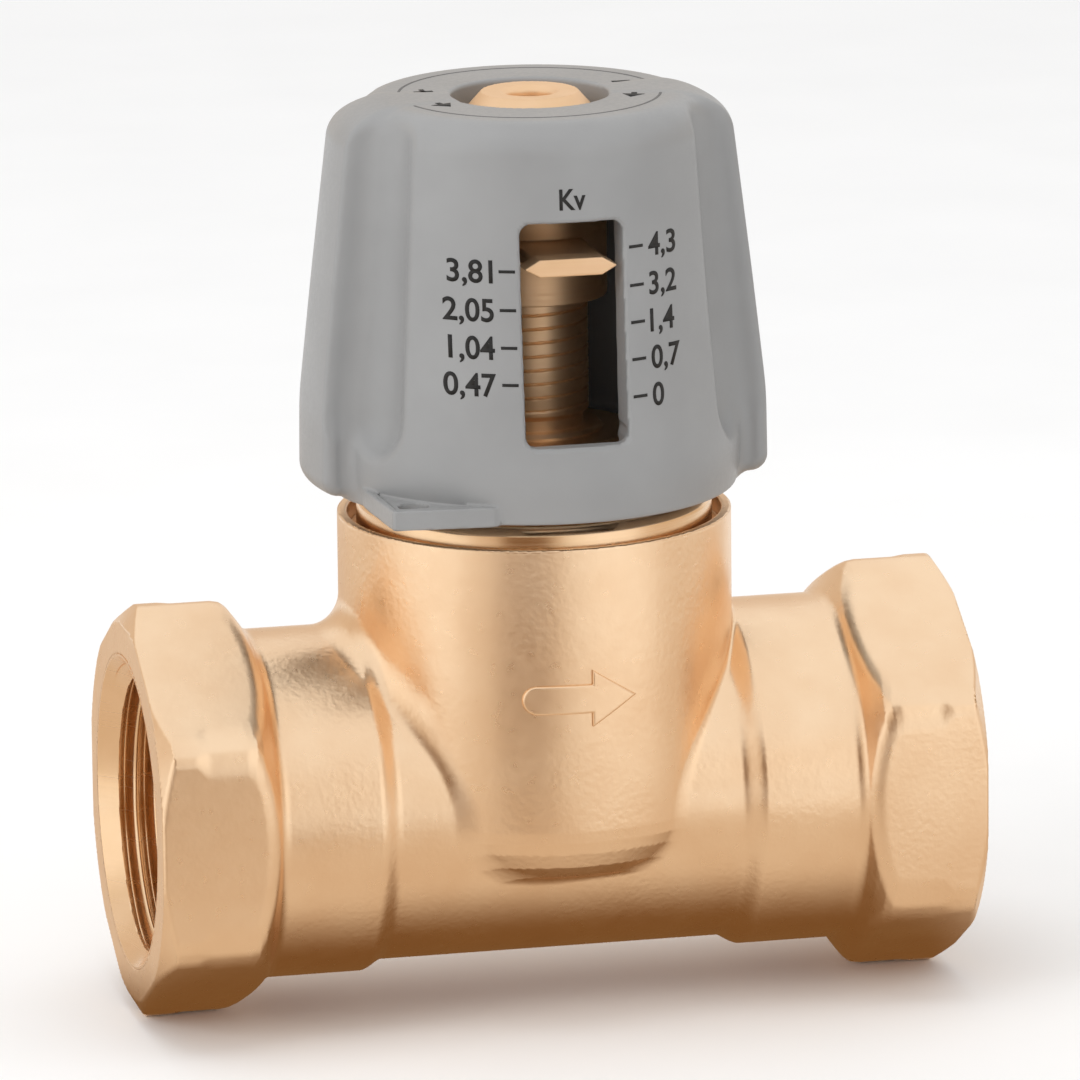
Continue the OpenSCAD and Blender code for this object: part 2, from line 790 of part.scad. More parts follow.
module plug_nut() {
    color("#D8B07C") raised() translate([0, 0, plug_nut_z]) difference() {
        cylinder(r = plug_nut_af / sqrt(3), h = plug_nut_h, $fn = 6);
        translate([0, 0, -overrun]) cylinder(r = stem_end_r + run_gap, h = plug_nut_h + 2 * overrun);
    }
}

valve_body();
bonnet();
bonnet_o_ring();
stem_guide_bush();
stem_o_ring_upper();
stem_spacer_ring();
stem_o_ring_lower();
gland_washer();
gland_circlip();
knob_thrust_washer();
knob_friction_o_ring();
knob();
knob_snap_ring();
indicator_nut();
stem();
plug();
seat_seal();
throttle_cone();
plug_lock_washer();
plug_nut();
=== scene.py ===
import json
import math

import bpy
import numpy as np
from mathutils import Matrix, Vector


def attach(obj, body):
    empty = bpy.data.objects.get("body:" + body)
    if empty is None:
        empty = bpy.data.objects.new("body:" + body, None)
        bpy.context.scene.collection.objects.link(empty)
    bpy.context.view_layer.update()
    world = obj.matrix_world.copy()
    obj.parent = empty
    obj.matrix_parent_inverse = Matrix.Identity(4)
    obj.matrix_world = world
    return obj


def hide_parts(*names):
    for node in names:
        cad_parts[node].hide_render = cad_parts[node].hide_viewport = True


# Lengths are in millimetres and heights are counted from the pipe axis, unless a comment says otherwise.
MM = 0.001
AXIS_H = 18.85
STEEP_SHARE = 0.9

# Valve body
HALF_LENGTH = 37.5
HEX_APOTHEM = 16.8
HEX_R = 18.84
HEX_EDGE_R = 0.8
HEX_BACK_START = 29.6
HEX_BACK = [(18.62, 28.8), (18.05, 28.15), (17.0, 27.35), (15.3, 26.2)]
HEX_BACK_EDGE_R = 0.8
END_FACE_R = 17.0
END_CHAMFER = 1.1
END_EDGE_R = 0.3
EDGE_CHANGE_START = 33.0
EDGE_CHANGE_END = 34.5
INSIDE = -9.0
ARM_END = 28.5
ARM_FILLET = 0.5
ARM_R = 15.6
WAIST_R = 14.7
TAPER_START = 15.5
TAPER_END = 17.6
BOSS_R = 17.6
BOSS_TOP = 25.7
BOSS_SIDE_Z = 0.0
BOSS_EDGE_R = 0.25
BOSS_FILLET = 0.45
LEFT_FILLET_ADDED = 0.25
LEFT_TOP_FILLET_ADDED = 1.9
LEFT_CHANGE = (-2.0, 4.0)
TOP_CHANGE = (5.0, 15.0)
CHIN_CURVE = [(14.9, -4.75), (16.2, -3.6), (17.1, -2.2), (17.5, -1.1)]
CHIN_R = 13.5
CHIN_Z = -5.2
PORT_MINOR_R = 12.06
PORT_THREAD_H = 1.16
PORT_PITCH = 1.814
PORT_BORE_BAND = 0.6
THREAD_MOUTH_S = 3.0
THREAD_FADE_START = 13.0
THREAD_END = 13.9
THREAD_ROW = 0.07
THREAD_SEGMENTS = 200
SKIN = 0.02
PORT_DEPTH = 15.5
PORT_MOUTH_R = 13.9
PORT_EDGE_R = 0.12
LINER_R = 14.1
LINER_LAP = 0.1
LINER_OVERRUN = 0.4
PASSAGE_R = 10.0
PASSAGE_EDGE_R = 0.25
PASSAGE_OVERRUN = 1.0
SEAT_R = 7.5
LIP_R = 9.1
LIP_H = 0.8
WEIR_TOP = -2.0
WEIR_BOTTOM = -4.5
CHAMBER_R = 12.0
LOW_CHAMBER_R = 11.5
LOW_CHAMBER_END = 8.5
PORT_SIDE_X = 24.0
INLET_END = 14.5
LOW_CHAMBER_ADDED = 0.5
OUTLET_START = 11.0
SOCKET_FOOT = 15.85
SOCKET_R = 14.45
RECESS_Z = 23.8
RECESS_R = 16.7
ARROW_Z = 12.1
ARROW_LENGTH = 10.3
ARROW_SHAFT = 2.6
ARROW_HEAD = 5.2
ARROW_HEAD_L = 4.1
ARROW_RELIEF = 0.32

# Knob
KNOB_Z = 28.0
KNOB_TOP = 63.2
WING_TOP = 62.5
WEB_TOP = 31.75
WINDOW_HALF_W = 4.6
WINDOW_LOW = 34.9
WINDOW_HIGH = 54.6

# Bonnet and indicator nut
FLANGE_R = 15.9
FLANGE_TOP = 27.1
NECK_R = 5.0
NECK_PITCH = 1.25
NECK_Z = 33.4
NECK_TOP = 49.2
NECK_FOOT_H = 1.4
NECK_CHAMFER = 0.5
NECK_ROW = 0.05
NECK_FADE_START = 1.5
NECK_FADE_END = 2.2
BONNET_SEGMENTS = 160
NECK_GROOVE_W = 0.3
NECK_GROOVE_H = 0.2
STEM_HOLE_R = 2.56
NUT_R = 6.8
NUT_Z = 45.1
NUT_TOP = 63.39
POINTER_Z = 50.5
POINTER_HALF_L = 4.2
POINTER_BODY_HALF_L = 2.8
POINTER_HALF_H = 0.8
POINTER_FRONT = 15.6
POINTER_BACK = 13.2
POINTER_WEB_HALF_W = 3.2
POINTER_WEB_HALF_H = 0.6
POINTER_WEB_FRONT = 15.0
POINTER_WEB_BACK = 5.0
NUT_CHAMFER_H = 2.8
NUT_TOP_R = 4.3
NUT_BORE_R = 5.06
NUT_BORE_TOP = 61.0
NUT_EYE_R = 2.0
NUT_EDGE_R = 0.2
NUT_INNER_EDGE_R = 0.15
DISH_R = 2.3
DISH_LIFT = 1.35
DISH_SHARE = 0.72


# Fields

def round_max(a, b, r):
    """Common part of two solids, with its new edge rounded to radius r."""
    return np.minimum(-r, np.maximum(a, b)) + np.hypot(np.maximum(a + r, 0), np.maximum(b + r, 0))


def round_min(a, b, r):
    """Union of two solids, with a fillet of radius r between them."""
    return np.maximum(r, np.minimum(a, b)) - np.hypot(np.maximum(r - a, 0), np.maximum(r - b, 0))


def cut(a, b, r):
    """Solid a less solid b, with the new edge rounded to radius r."""
    return round_max(a, -b, r)


def bevel_cut(a, b, c):
    """Solid a less solid b, with a flat bevel of leg c along the new edge."""
    return np.maximum(np.maximum(a, -b), (a - b + c) * math.sqrt(0.5))


def step_up(t, low, high):
    """Smooth rise from 0 at low to 1 at high."""
    s = np.clip((t - low) / (high - low), 0, 1)
    return s * s * (3 - 2 * s)


def outline_field(px, py, points):
    """Signed distance to a closed outline in the plane."""
    best = np.full(px.shape, 1e9)
    inside = np.zeros(px.shape, bool)
    for (x0, y0), (x1, y1) in zip(points, points[1:] + points[:1]):
        ex, ey = x1 - x0, y1 - y0
        wx, wy = px - x0, py - y0
        t = np.clip((wx * ex + wy * ey) / (ex * ex + ey * ey), 0, 1)
        best = np.minimum(best, (wx - ex * t) ** 2 + (wy - ey * t) ** 2)
        if ey:
            crossing = (y0 > py) != (y1 > py)
            inside ^= crossing & (px < x0 + (py - y0) * ex / ey)
    return np.where(inside, -1.0, 1.0) * np.sqrt(best)


def groove_wave(turns, width, depth, pitch):
    """Depth of a screw groove of that width where turns counts pitches along the thread."""
    off = np.abs(turns - np.floor(turns) - 0.5) * pitch
    share = np.clip(1 - off / (width / 2), 0, 1)
    return depth * share


# Field to mesh

BLOCK = 6
BLOCK_REACH = 1.05
CHUNK = 400000
FAR = 9.0
SETTLE_ROUNDS = 2
SLOPE_STEP = 0.02
NORMAL_STEP = 0.04
LEAST_SLOPE = 0.2
SHARP_ANGLE = 32
CORNERS = np.array([(i, j, k) for i in (0, 1) for j in (0, 1) for k in (0, 1)])
EDGES = [(a, b) for a in range(8) for b in range(a + 1, 8) if np.abs(CORNERS[a] - CORNERS[b]).sum() == 1]


def sampled(field, low, high, step):
    """Field on a grid, worked out only near its surface, and far values elsewhere."""
    counts = [int(math.ceil((high[i] - low[i]) / (step * BLOCK))) for i in range(3)]
    centres = [low[i] + (np.arange(counts[i]) + 0.5) * step * BLOCK for i in range(3)]
    cx, cy, cz = np.meshgrid(*centres, indexing="ij")
    coarse = field(cx.ravel(), cy.ravel(), cz.ravel()).reshape(cx.shape)
    reach = step * BLOCK * BLOCK_REACH
    near = np.argwhere(np.abs(coarse) < reach)
    shape = [c * BLOCK + 1 for c in counts]
    values = np.repeat(np.repeat(np.repeat(coarse, BLOCK, 0), BLOCK, 1), BLOCK, 2)
    grid = np.full(shape, FAR, np.float32)
    grid[:-1, :-1, :-1] = values
    grid[-1] = FAR
    grid[:, -1] = FAR
    grid[:, :, -1] = FAR
    wanted = np.zeros(shape, bool)
    for i, j, k in near:
        spans = [slice(n * BLOCK, (n + 1) * BLOCK + 1) for n in (i, j, k)]
        wanted[tuple(spans)] = True
    where = np.argwhere(wanted)
    points = where * step + np.array(low)
    found = np.empty(len(points), np.float32)
    for s in range(0, len(points), CHUNK):
        p = points[s:s + CHUNK]
        found[s:s + CHUNK] = field(p[:, 0], p[:, 1], p[:, 2])
    grid[wanted] = found
    return grid


def slope(field, p, h=SLOPE_STEP):
    """Outward direction of the field at the points p."""
    g = np.empty(p.shape)
    for axis in range(3):
        d = np.zeros(3)
        d[axis] = h
        a, b = p + d, p - d
        g[:, axis] = field(a[:, 0], a[:, 1], a[:, 2]) - field(b[:, 0], b[:, 1], b[:, 2])
    return g / (2 * h)


def settle(field, p):
    """Moves the points p onto the surface of the field."""
    for _ in range(SETTLE_ROUNDS):
        g = slope(field, p)
        f = field(p[:, 0], p[:, 1], p[:, 2])
        p = p - g * (f / np.maximum((g * g).sum(1), LEAST_SLOPE))[:, None]
    return p


def surface_net(grid, low, step):
    """Vertices and four-cornered faces of the grid's zero surface."""
    inside = grid < 0
    cells = tuple(n - 1 for n in grid.shape)
    count = np.zeros(cells, np.int8)
    for a, b, c in CORNERS:
        count += inside[a:a + cells[0], b:b + cells[1], c:c + cells[2]]
    active = (count > 0) & (count < 8)
    index = np.full(cells, -1, np.int64)
    at = np.argwhere(active)
    index[active] = np.arange(len(at))
    value = np.stack([grid[tuple((at + c).T)] for c in CORNERS], 1)
    total = np.zeros((len(at), 3))
    hits = np.zeros(len(at))
    for a, b in EDGES:
        va, vb = value[:, a], value[:, b]
        crosses = (va < 0) != (vb < 0)
        t = np.where(crosses, va / np.where(crosses, va - vb, 1), 0)
        point = CORNERS[a] + t[:, None] * (CORNERS[b] - CORNERS[a])
        total += point * crosses[:, None]
        hits += crosses
    verts = (at + total / hits[:, None]) * step + np.array(low)
    faces = []
    for axis in range(3):
        u, v = (axis + 1) % 3, (axis + 2) % 3
        here = [slice(1, -1)] * 3
        here[axis] = slice(0, -1)
        there = [slice(1, -1)] * 3
        there[axis] = slice(1, None)
        a, b = inside[tuple(here)], inside[tuple(there)]
        spots = np.argwhere(a != b)
        offset = np.ones(3, np.int64)
        offset[axis] = 0
        spots = spots + offset
        first = a[tuple((spots - offset).T)]
        corners = []
        for du, dv in ((-1, -1), (0, -1), (0, 0), (-1, 0)):
            d = np.zeros(3, np.int64)
            d[u], d[v] = du, dv
            corners.append(index[tuple((spots + d).T)])
        quad = np.stack(corners, 1)
        quad[~first] = quad[~first][:, ::-1]
        faces.append(quad)
    return verts, np.concatenate(faces)


def new_object(name, verts, faces):
    """Object in metres over the floor, from vertices in millimetres over the pipe axis."""
    mesh = bpy.data.meshes.new(name)
    at = (np.asarray(verts) + np.array([0, 0, AXIS_H])) * MM
    mesh.from_pydata([], [], [])
    mesh.vertices.add(len(at))
    mesh.vertices.foreach_set("co", at.astype(np.float32).ravel())
    if isinstance(faces, np.ndarray):
        sizes = np.full(len(faces), faces.shape[1])
        loops = faces.ravel()
    else:
        sizes = np.array([len(f) for f in faces])
        loops = np.concatenate([np.asarray(f) for f in faces])
    mesh.loops.add(len(loops))
    mesh.loops.foreach_set("vertex_index", loops.astype(np.int32))
    mesh.polygons.add(len(sizes))
    mesh.polygons.foreach_set("loop_start", (np.cumsum(sizes) - sizes).astype(np.int32))
    mesh.update(calc_edges=True)
    mesh.validate()
    obj = bpy.data.objects.new(name, mesh)
    bpy.context.scene.collection.objects.link(obj)
    return obj


def field_object(name, field, low, high, step, keep):
    """Mesh of a field, thinned to the share keep of its triangles, with the field's own normals."""
    grid = sampled(field, low, high, step)
    verts, faces = surface_net(grid, low, step)
    verts = settle(field, verts)
    obj = new_object(name, verts, faces)
    if keep < 1:
        bpy.context.view_layer.objects.active = obj
        thin = obj.modifiers.new("thin", "DECIMATE")
        thin.ratio = keep
        bpy.ops.object.modifier_apply(modifier=thin.name)
    mesh = obj.data
    co = np.empty(len(mesh.vertices) * 3, np.float32)
    mesh.vertices.foreach_get("co", co)
    at = co.reshape(-1, 3).astype(float) / MM - np.array([0, 0, AXIS_H])
    normal = slope(field, at, NORMAL_STEP)
    normal /= np.maximum(np.linalg.norm(normal, axis=1), 1e-9)[:, None]
    mesh.polygons.foreach_set("use_smooth", np.ones(len(mesh.polygons), bool))
    mesh.normals_split_custom_set_from_vertices(normal.tolist())
    mesh.update()
    return obj


# Valve body

def hexagon_field(y, z, rx, ax):
    """The two hexagon ends, within their turned outline."""
    flats = np.abs(y) - HEX_APOTHEM
    for s in (-1, 1):
        flats = round_max(flats, np.abs(y * 0.5 + s * z * math.sqrt(0.75)) - HEX_APOTHEM, HEX_EDGE_R)
    end = [(INSIDE, HALF_LENGTH), (END_FACE_R, HALF_LENGTH), (HEX_R, HALF_LENGTH - END_CHAMFER)]
    back = [(HEX_R, HEX_BACK_START)] + HEX_BACK + [(INSIDE, HEX_BACK[-1][1])]
    envelope = outline_field(rx, ax, end + back)
    edge = END_EDGE_R + (HEX_BACK_EDGE_R - END_EDGE_R) * step_up(-ax, -EDGE_CHANGE_END, -EDGE_CHANGE_START)
    return round_max(flats, envelope, edge)


def arm_field(rx, ax):
    """The round pipe arms, wider beyond the step."""
    radius = WAIST_R + (ARM_R - WAIST_R) * step_up(ax, TAPER_START, TAPER_END)
    return np.maximum((rx - radius) * STEEP_SHARE, ax - ARM_END)


def boss_field(rz, z):
    """The round boss with its curved chin."""
    chin = [(INSIDE, CHIN_Z), (CHIN_R, CHIN_Z)] + CHIN_CURVE
    return outline_field(rz, z, chin + [(BOSS_R, BOSS_SIDE_Z), (BOSS_R, BOSS_TOP), (INSIDE, BOSS_TOP)])


def arrow_outline(x, z):
    """Flow arrow seen from the front."""
    tail = -ARROW_LENGTH / 2 + ARROW_SHAFT / 2
    neck = ARROW_LENGTH / 2 - ARROW_HEAD_L
    dx = np.clip(x, tail, neck)
    shaft = np.hypot(x - dx, z - ARROW_Z) - ARROW_SHAFT / 2
    head = outline_field(x, z, [
        (neck, ARROW_Z - ARROW_HEAD / 2), (ARROW_LENGTH / 2, ARROW_Z), (neck, ARROW_Z + ARROW_HEAD / 2)
    ])
    return np.minimum(shaft, head)


def port_field(rx, ax):
    """Void of the two ports, up to the outside of their threaded liners."""
    return np.maximum(rx - LINER_R + LINER_LAP, HALF_LENGTH - ax - PORT_DEPTH)


def passage_field(x, z, rx, rz):
    """Void of the inlet passage, the seat, the chamber and the outlet passage."""
    inlet = np.maximum(rx - PASSAGE_R, np.maximum(x + INLET_END, -x - PORT_SIDE_X))
    outlet = np.maximum(rx - PASSAGE_R, np.maximum(OUTLET_START - x, x - PORT_SIDE_X))
    ends = np.maximum(-x - INLET_END - LOW_CHAMBER_ADDED, x - LOW_CHAMBER_END)
    under = np.maximum(np.maximum(rx - LOW_CHAMBER_R, z - WEIR_BOTTOM), ends)
    through = np.maximum(WEIR_BOTTOM - PASSAGE_OVERRUN - z, z - WEIR_TOP - 2 * PASSAGE_OVERRUN)
    seat = np.maximum(rz - SEAT_R, through)
    chamber = np.maximum(rz - CHAMBER_R, np.maximum(WEIR_TOP - z, z - BOSS_TOP - 3 * PASSAGE_OVERRUN))
    lip = np.maximum(rz - LIP_R, z - WEIR_TOP - LIP_H)
    chamber = np.maximum(chamber, -lip)
    across = np.maximum(-x, x - OUTLET_START - PASSAGE_OVERRUN)
    over = np.maximum(np.maximum(rx - PASSAGE_R, WEIR_TOP - z), across)
    socket = np.maximum(rz - SOCKET_R, SOCKET_FOOT - z)
    recess = np.maximum(rz - RECESS_R, RECESS_Z - z)
    void = inlet
    for part in (outlet, under, seat, chamber, over, socket, recess):
        void = np.minimum(void, part)
    return void


def body_field(x, y, z):
    """The whole valve body."""
    ax = np.abs(x)
    rx = np.hypot(y, z)
    rz = np.hypot(x, y)
    solid = round_min(hexagon_field(y, z, rx, ax), arm_field(rx, ax), ARM_FILLET)
    left = step_up(-x, *LEFT_CHANGE)
    high = step_up(z, *TOP_CHANGE)
    soft = BOSS_FILLET + left * (LEFT_FILLET_ADDED + LEFT_TOP_FILLET_ADDED * high)
    boss = round_max(boss_field(rz, z), z - BOSS_TOP, BOSS_EDGE_R)
    solid = round_min(solid, boss, soft)
    solid = cut(solid, port_field(rx, ax), PORT_EDGE_R)
    return cut(solid, passage_field(x, z, rx, rz), PASSAGE_EDGE_R)


ARROW_BOX = ((-5.6, -18.3, 9.0), (5.6, -16.2, 15.2))
ARROW_STEP = 0.11
ARROW_KEEP_SHARE = 0.5
ARROW_ROOT = 0.5
ARROW_EDGE_R = 0.2
ARROW_BACK = 9.0


def arrow_field(x, y, z):
    """Raised flow arrow on the boss's front."""
    rz = np.hypot(x, y)
    shell = np.maximum(rz - BOSS_R - ARROW_RELIEF, BOSS_R - ARROW_ROOT - rz)
    return round_max(round_max(arrow_outline(x, z), shell, ARROW_EDGE_R), y + ARROW_BACK, 0.5 * SKIN)


def make_arrow():
    """Flow arrow as a fine piece of its own."""
    obj = field_object("flow_arrow", arrow_field, *ARROW_BOX, ARROW_STEP, ARROW_KEEP_SHARE)
    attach(obj, "valve")
    return obj


def port_radius(r, s, theta):
    """Screw thread of a port, open at its mouth and run out at its end."""
    bore = np.abs(r - PORT_MINOR_R) < PORT_BORE_BAND
    groove = PORT_THREAD_H * (0.5 - 0.5 * np.cos(2 * math.pi * s / PORT_PITCH - theta))
    fade = step_up(-s, -THREAD_END, -THREAD_FADE_START)
    threaded = np.maximum(r, PORT_MINOR_R + groove * fade)
    at_mouth = (s < THREAD_MOUTH_S) & (r < PORT_MOUTH_R - SKIN)
    return np.where(bore | at_mouth, threaded, r)


def make_port(name, side):
    """Threaded liner of one port; side is -1 at the inlet and 1 at the outlet."""
    mouth = PORT_MOUTH_R - PORT_MINOR_R
    end = PORT_DEPTH + LINER_OVERRUN
    inner = dense([(PORT_MOUTH_R, SKIN), (PORT_MINOR_R, mouth)], THREAD_ROW)
    inner = inner[:len(inner) // 2]
    bore = dense([(PORT_MINOR_R, mouth), (PORT_MINOR_R, end)], THREAD_ROW)
    bore = bore[:len(bore) // 2]
    outline = inner + bore[1:] + [(PORT_MINOR_R, end), (LINER_R, end), (LINER_R, SKIN)]
    obj = turned_object(name, outline, THREAD_SEGMENTS, port_radius)
    co = np.empty(len(obj.data.vertices) * 3, np.float32)
    obj.data.vertices.foreach_get("co", co)
    co = co.reshape(-1, 3)
    deep = co[:, 2] / MM - AXIS_H
    along = side * (HALF_LENGTH - deep) * MM
    turned = np.stack([along, side * co[:, 1], co[:, 0] + AXIS_H * MM], 1)
    obj.data.vertices.foreach_set("co", turned.astype(np.float32).ravel())
    obj.data.update()
    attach(obj, "valve")
    return obj


BODY_BOX = ((-38.0, -20.0, -19.6), (38.0, 20.0, 26.4))
BODY_STEP = 0.25


def make_body():
    """Valve body in place of its plain solid."""
    obj = field_object("valve_body_visual", body_field, *BODY_BOX, BODY_STEP, 1)
    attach(obj, "valve")
    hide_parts("valve_body")
    return obj


# Knob

KNOB_SIDE_Z = [27.0, 28.0, 30.6, 32.93, 37.15, 46.3, 59.68, 64.0]
KNOB_SIDE_R = [17.9, 18.05, 18.5, 18.5, 18.04, 17.11, 16.1, 15.8]
WING_SIDE_Z = [27.0, 28.0, 36.1, 47.0, 60.4, 64.0]
WING_SIDE_R = [20.9, 20.9, 20.8, 19.6, 18.0, 17.6]
SIDE_ROWS = 400
EASE_ROWS = 31


def smooth_curve(zs, rs):
    """Fine table of a side's radius over its height, with the corners of the outline eased."""
    fine = np.linspace(zs[0], zs[-1], SIDE_ROWS)
    value = np.interp(fine, zs, rs)
    after = value[-1] + np.arange(1, EASE_ROWS + 1) * (value[-1] - value[-2])
    pad = np.concatenate([np.full(EASE_ROWS, value[0]), value, after])
    bell = np.hanning(2 * EASE_ROWS + 1)
    return fine, np.convolve(pad, bell / bell.sum(), "valid")


LUG_OUTLINE = [
    (-16.1, -16.4), (-7.6, -17.2), (-6.9, -16.9), (-6.9, -12.0),
    (-12.0, -6.0), (-16.6, -6.0), (-17.0, -6.8), (-16.4, -16.1)
]
LUG_MID_Z = 28.9
LUG_HALF_T = 0.9
LUG_EDGE_R = 0.15
LUG_RECESS = [(-15.9, -15.5), (-8.45, -15.75), (-16.3, -6.9)]
LUG_FLOOR = 29.62
POCKET_TOP = 29.9
POCKET_SLOPE = 0.9
POCKET_LINE = 24.3
POCKET_EDGE_R = 0.1
LUG_HOLE = (-14.036, -14.036)
LUG_HOLE_R = 1.3
KNOB_SIDE = smooth_curve(KNOB_SIDE_Z, KNOB_SIDE_R)
WING_SIDE = smooth_curve(WING_SIDE_Z, WING_SIDE_R)


FLUTE_ANGLES = (63, -63, 117, -117)
FLUTE_FOOT_H = 8.6
FLUTE_R = 4.4
FLUTE_OFFSET = 20.7
FLUTE_LEAN = 1.6
FLUTE_REACH = 1.4
FLUTE_EDGE_R = 0.6
WING_HALF_ANGLE = 16
WING_FOOT_H = 0.7
WING_FOOT_R = 1.6
WING_TOP_R = 2.8
WING_EDGE_R = 1.0
WING_FILLET = 1.2
KNOB_TOP_EDGE_R = 3.0
FOOT_EDGE_R = 0.35
LUG_FILLET = 0.25
CAVITY_R = 14.2
CAVITY_TAPER = 1.6
CAVITY_H = 28.45
CAVITY_TOP = 60.2
CAVITY_EDGE_R = 0.6
CAVITY_SHARE = 0.998
WASHER_SEAT_R = 14.0
WASHER_SEAT_TOP = 28.65
SPIGOT_BORE_R = 12.05
SNAP_GROOVE_R = 12.65
SNAP_GROOVE_Z = 30.85
SNAP_GROOVE_HALF_W = 0.525
KEYWAY_DEPTH = 16.3
KEYWAY_TOP = 35.9
TOP_HOLE_R = 7.0
INNER_EDGE_R = 0.15
HOLE_EDGE_R = 0.35
WINDOW_CORNER_R = 1.0
WINDOW_BEVEL = 0.3
WINDOW_BACK = 8.0
SIDE_SHARE = 0.99


def flute_field(x, y, z, angle):
    """Leaning round flute with a ball foot, at that angle from the window."""
    a = math.radians(angle)
    lx = x * math.cos(a) + y * math.sin(a)
    ly = -x * math.sin(a) + y * math.cos(a)
    foot = KNOB_Z + FLUTE_FOOT_H
    t = np.clip((z - foot) / (KNOB_TOP - foot), 0, FLUTE_REACH)
    ty = -FLUTE_OFFSET + FLUTE_LEAN * t
    tz = foot + (KNOB_TOP - foot) * t
    return np.sqrt(lx ** 2 + (ly - ty) ** 2 + (z - tz) ** 2) - FLUTE_R


def window_outline(x, z):
    """Rounded rectangle of the window, seen from the front."""
    half_h = (WINDOW_HIGH - WINDOW_LOW) / 2
    dx = np.abs(x) - WINDOW_HALF_W + WINDOW_CORNER_R
    dz = np.abs(z - (WINDOW_LOW + WINDOW_HIGH) / 2) - half_h + WINDOW_CORNER_R
    outside = np.hypot(np.maximum(dx, 0), np.maximum(dz, 0))
    return outside + np.minimum(np.maximum(dx, dz), 0) - WINDOW_CORNER_R


def lug_field(x, y, z):
    """Corner lug with a recessed triangle; its hole is cut in the knob's field."""
    corner = outline_field(x, y, LUG_OUTLINE)
    slab = round_max(corner, np.abs(z - LUG_MID_Z) - LUG_HALF_T, LUG_EDGE_R)
    recess = np.maximum(outline_field(x, y, LUG_RECESS), LUG_FLOOR - z)
    return cut(slab, recess, POCKET_EDGE_R)


def knob_hollow(x, y, z, rz):
    """Voids inside the knob, and the hole in its top."""
    cone = (rz - CAVITY_R + CAVITY_TAPER * (z - WEB_TOP) / CAVITY_H) * CAVITY_SHARE
    cavity = round_max(cone, np.maximum(WEB_TOP - z, z - CAVITY_TOP), CAVITY_EDGE_R)
    washer = np.maximum(rz - WASHER_SEAT_R, z - WASHER_SEAT_TOP)
    bore = np.maximum(rz - SPIGOT_BORE_R, z - WEB_TOP - PASSAGE_OVERRUN)
    ring = np.maximum(rz - SNAP_GROOVE_R, np.abs(z - SNAP_GROOVE_Z) - SNAP_GROOVE_HALF_W)
    reach = np.maximum(np.maximum(-KEYWAY_DEPTH - y, y), z - KEYWAY_TOP)
    keyway = np.maximum(np.abs(x) - WINDOW_HALF_W, reach)
    hole = rz - TOP_HOLE_R
    void = cavity
    for part in (washer, bore, ring, keyway):
        void = np.minimum(void, part)
    return void, hole


def knob_field(x, y, z):
    """The whole knob."""
    rz = np.hypot(x, y)
    side = (rz - np.interp(z, *KNOB_SIDE)) * SIDE_SHARE
    solid = round_max(side, z - KNOB_TOP, KNOB_TOP_EDGE_R)
    wing = (rz - np.interp(z, *WING_SIDE)) * SIDE_SHARE
    wing = round_max(wing, z - WING_TOP, WING_TOP_R)
    wing = round_max(wing, KNOB_Z + WING_FOOT_H - z, WING_FOOT_R)
    half = math.radians(WING_HALF_ANGLE)
    wedge = np.abs(y) * math.cos(half) - np.abs(x) * math.sin(half)
    wing = round_max(wing, wedge, WING_EDGE_R)
    solid = round_min(solid, wing, WING_FILLET)
    for angle in FLUTE_ANGLES:
        solid = cut(solid, flute_field(x, y, z, angle), FLUTE_EDGE_R)
    solid = round_max(solid, KNOB_Z - z, FOOT_EDGE_R)
    solid = round_min(solid, lug_field(x, y, z), LUG_FILLET)
    void, hole = knob_hollow(x, y, z, rz)
    solid = cut(solid, void, INNER_EDGE_R)
    solid = cut(solid, hole, HOLE_EDGE_R)
    window = np.maximum(window_outline(x, z), y + WINDOW_BACK)
    solid = bevel_cut(solid, window, WINDOW_BEVEL)
    slope_top = z - POCKET_TOP - POCKET_SLOPE * (x + y + POCKET_LINE)
    pocket = np.maximum(outline_field(x, y, LUG_RECESS), np.maximum(LUG_FLOOR - z, slope_top))
    solid = cut(solid, pocket, POCKET_EDGE_R)
    hole_side = np.hypot(x - LUG_HOLE[0], y - LUG_HOLE[1]) - LUG_HOLE_R
    return cut(solid, np.maximum(hole_side, z - POCKET_TOP), POCKET_EDGE_R)


KNOB_BOX = ((-21.6, -19.4, 27.3), (21.6, 19.4, 63.8))
KNOB_STEP = 0.27


def make_knob():
    """Knob in place of its plain solid."""
    obj = field_object("knob_visual", knob_field, *KNOB_BOX, KNOB_STEP, 1)
    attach(obj, "handwheel")
    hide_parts("knob")
    return obj


# Bonnet and nut

def dense(points, step):
    """Closed outline with extra points, so that no side is longer than step."""
    out = []
    for (r0, z0), (r1, z1) in zip(points, points[1:] + points[:1]):
        n = max(1, int(math.ceil(math.hypot(r1 - r0, z1 - z0) / step)))
        out += [(r0 + (r1 - r0) * i / n, z0 + (z1 - z0) * i / n) for i in range(n)]
    return out


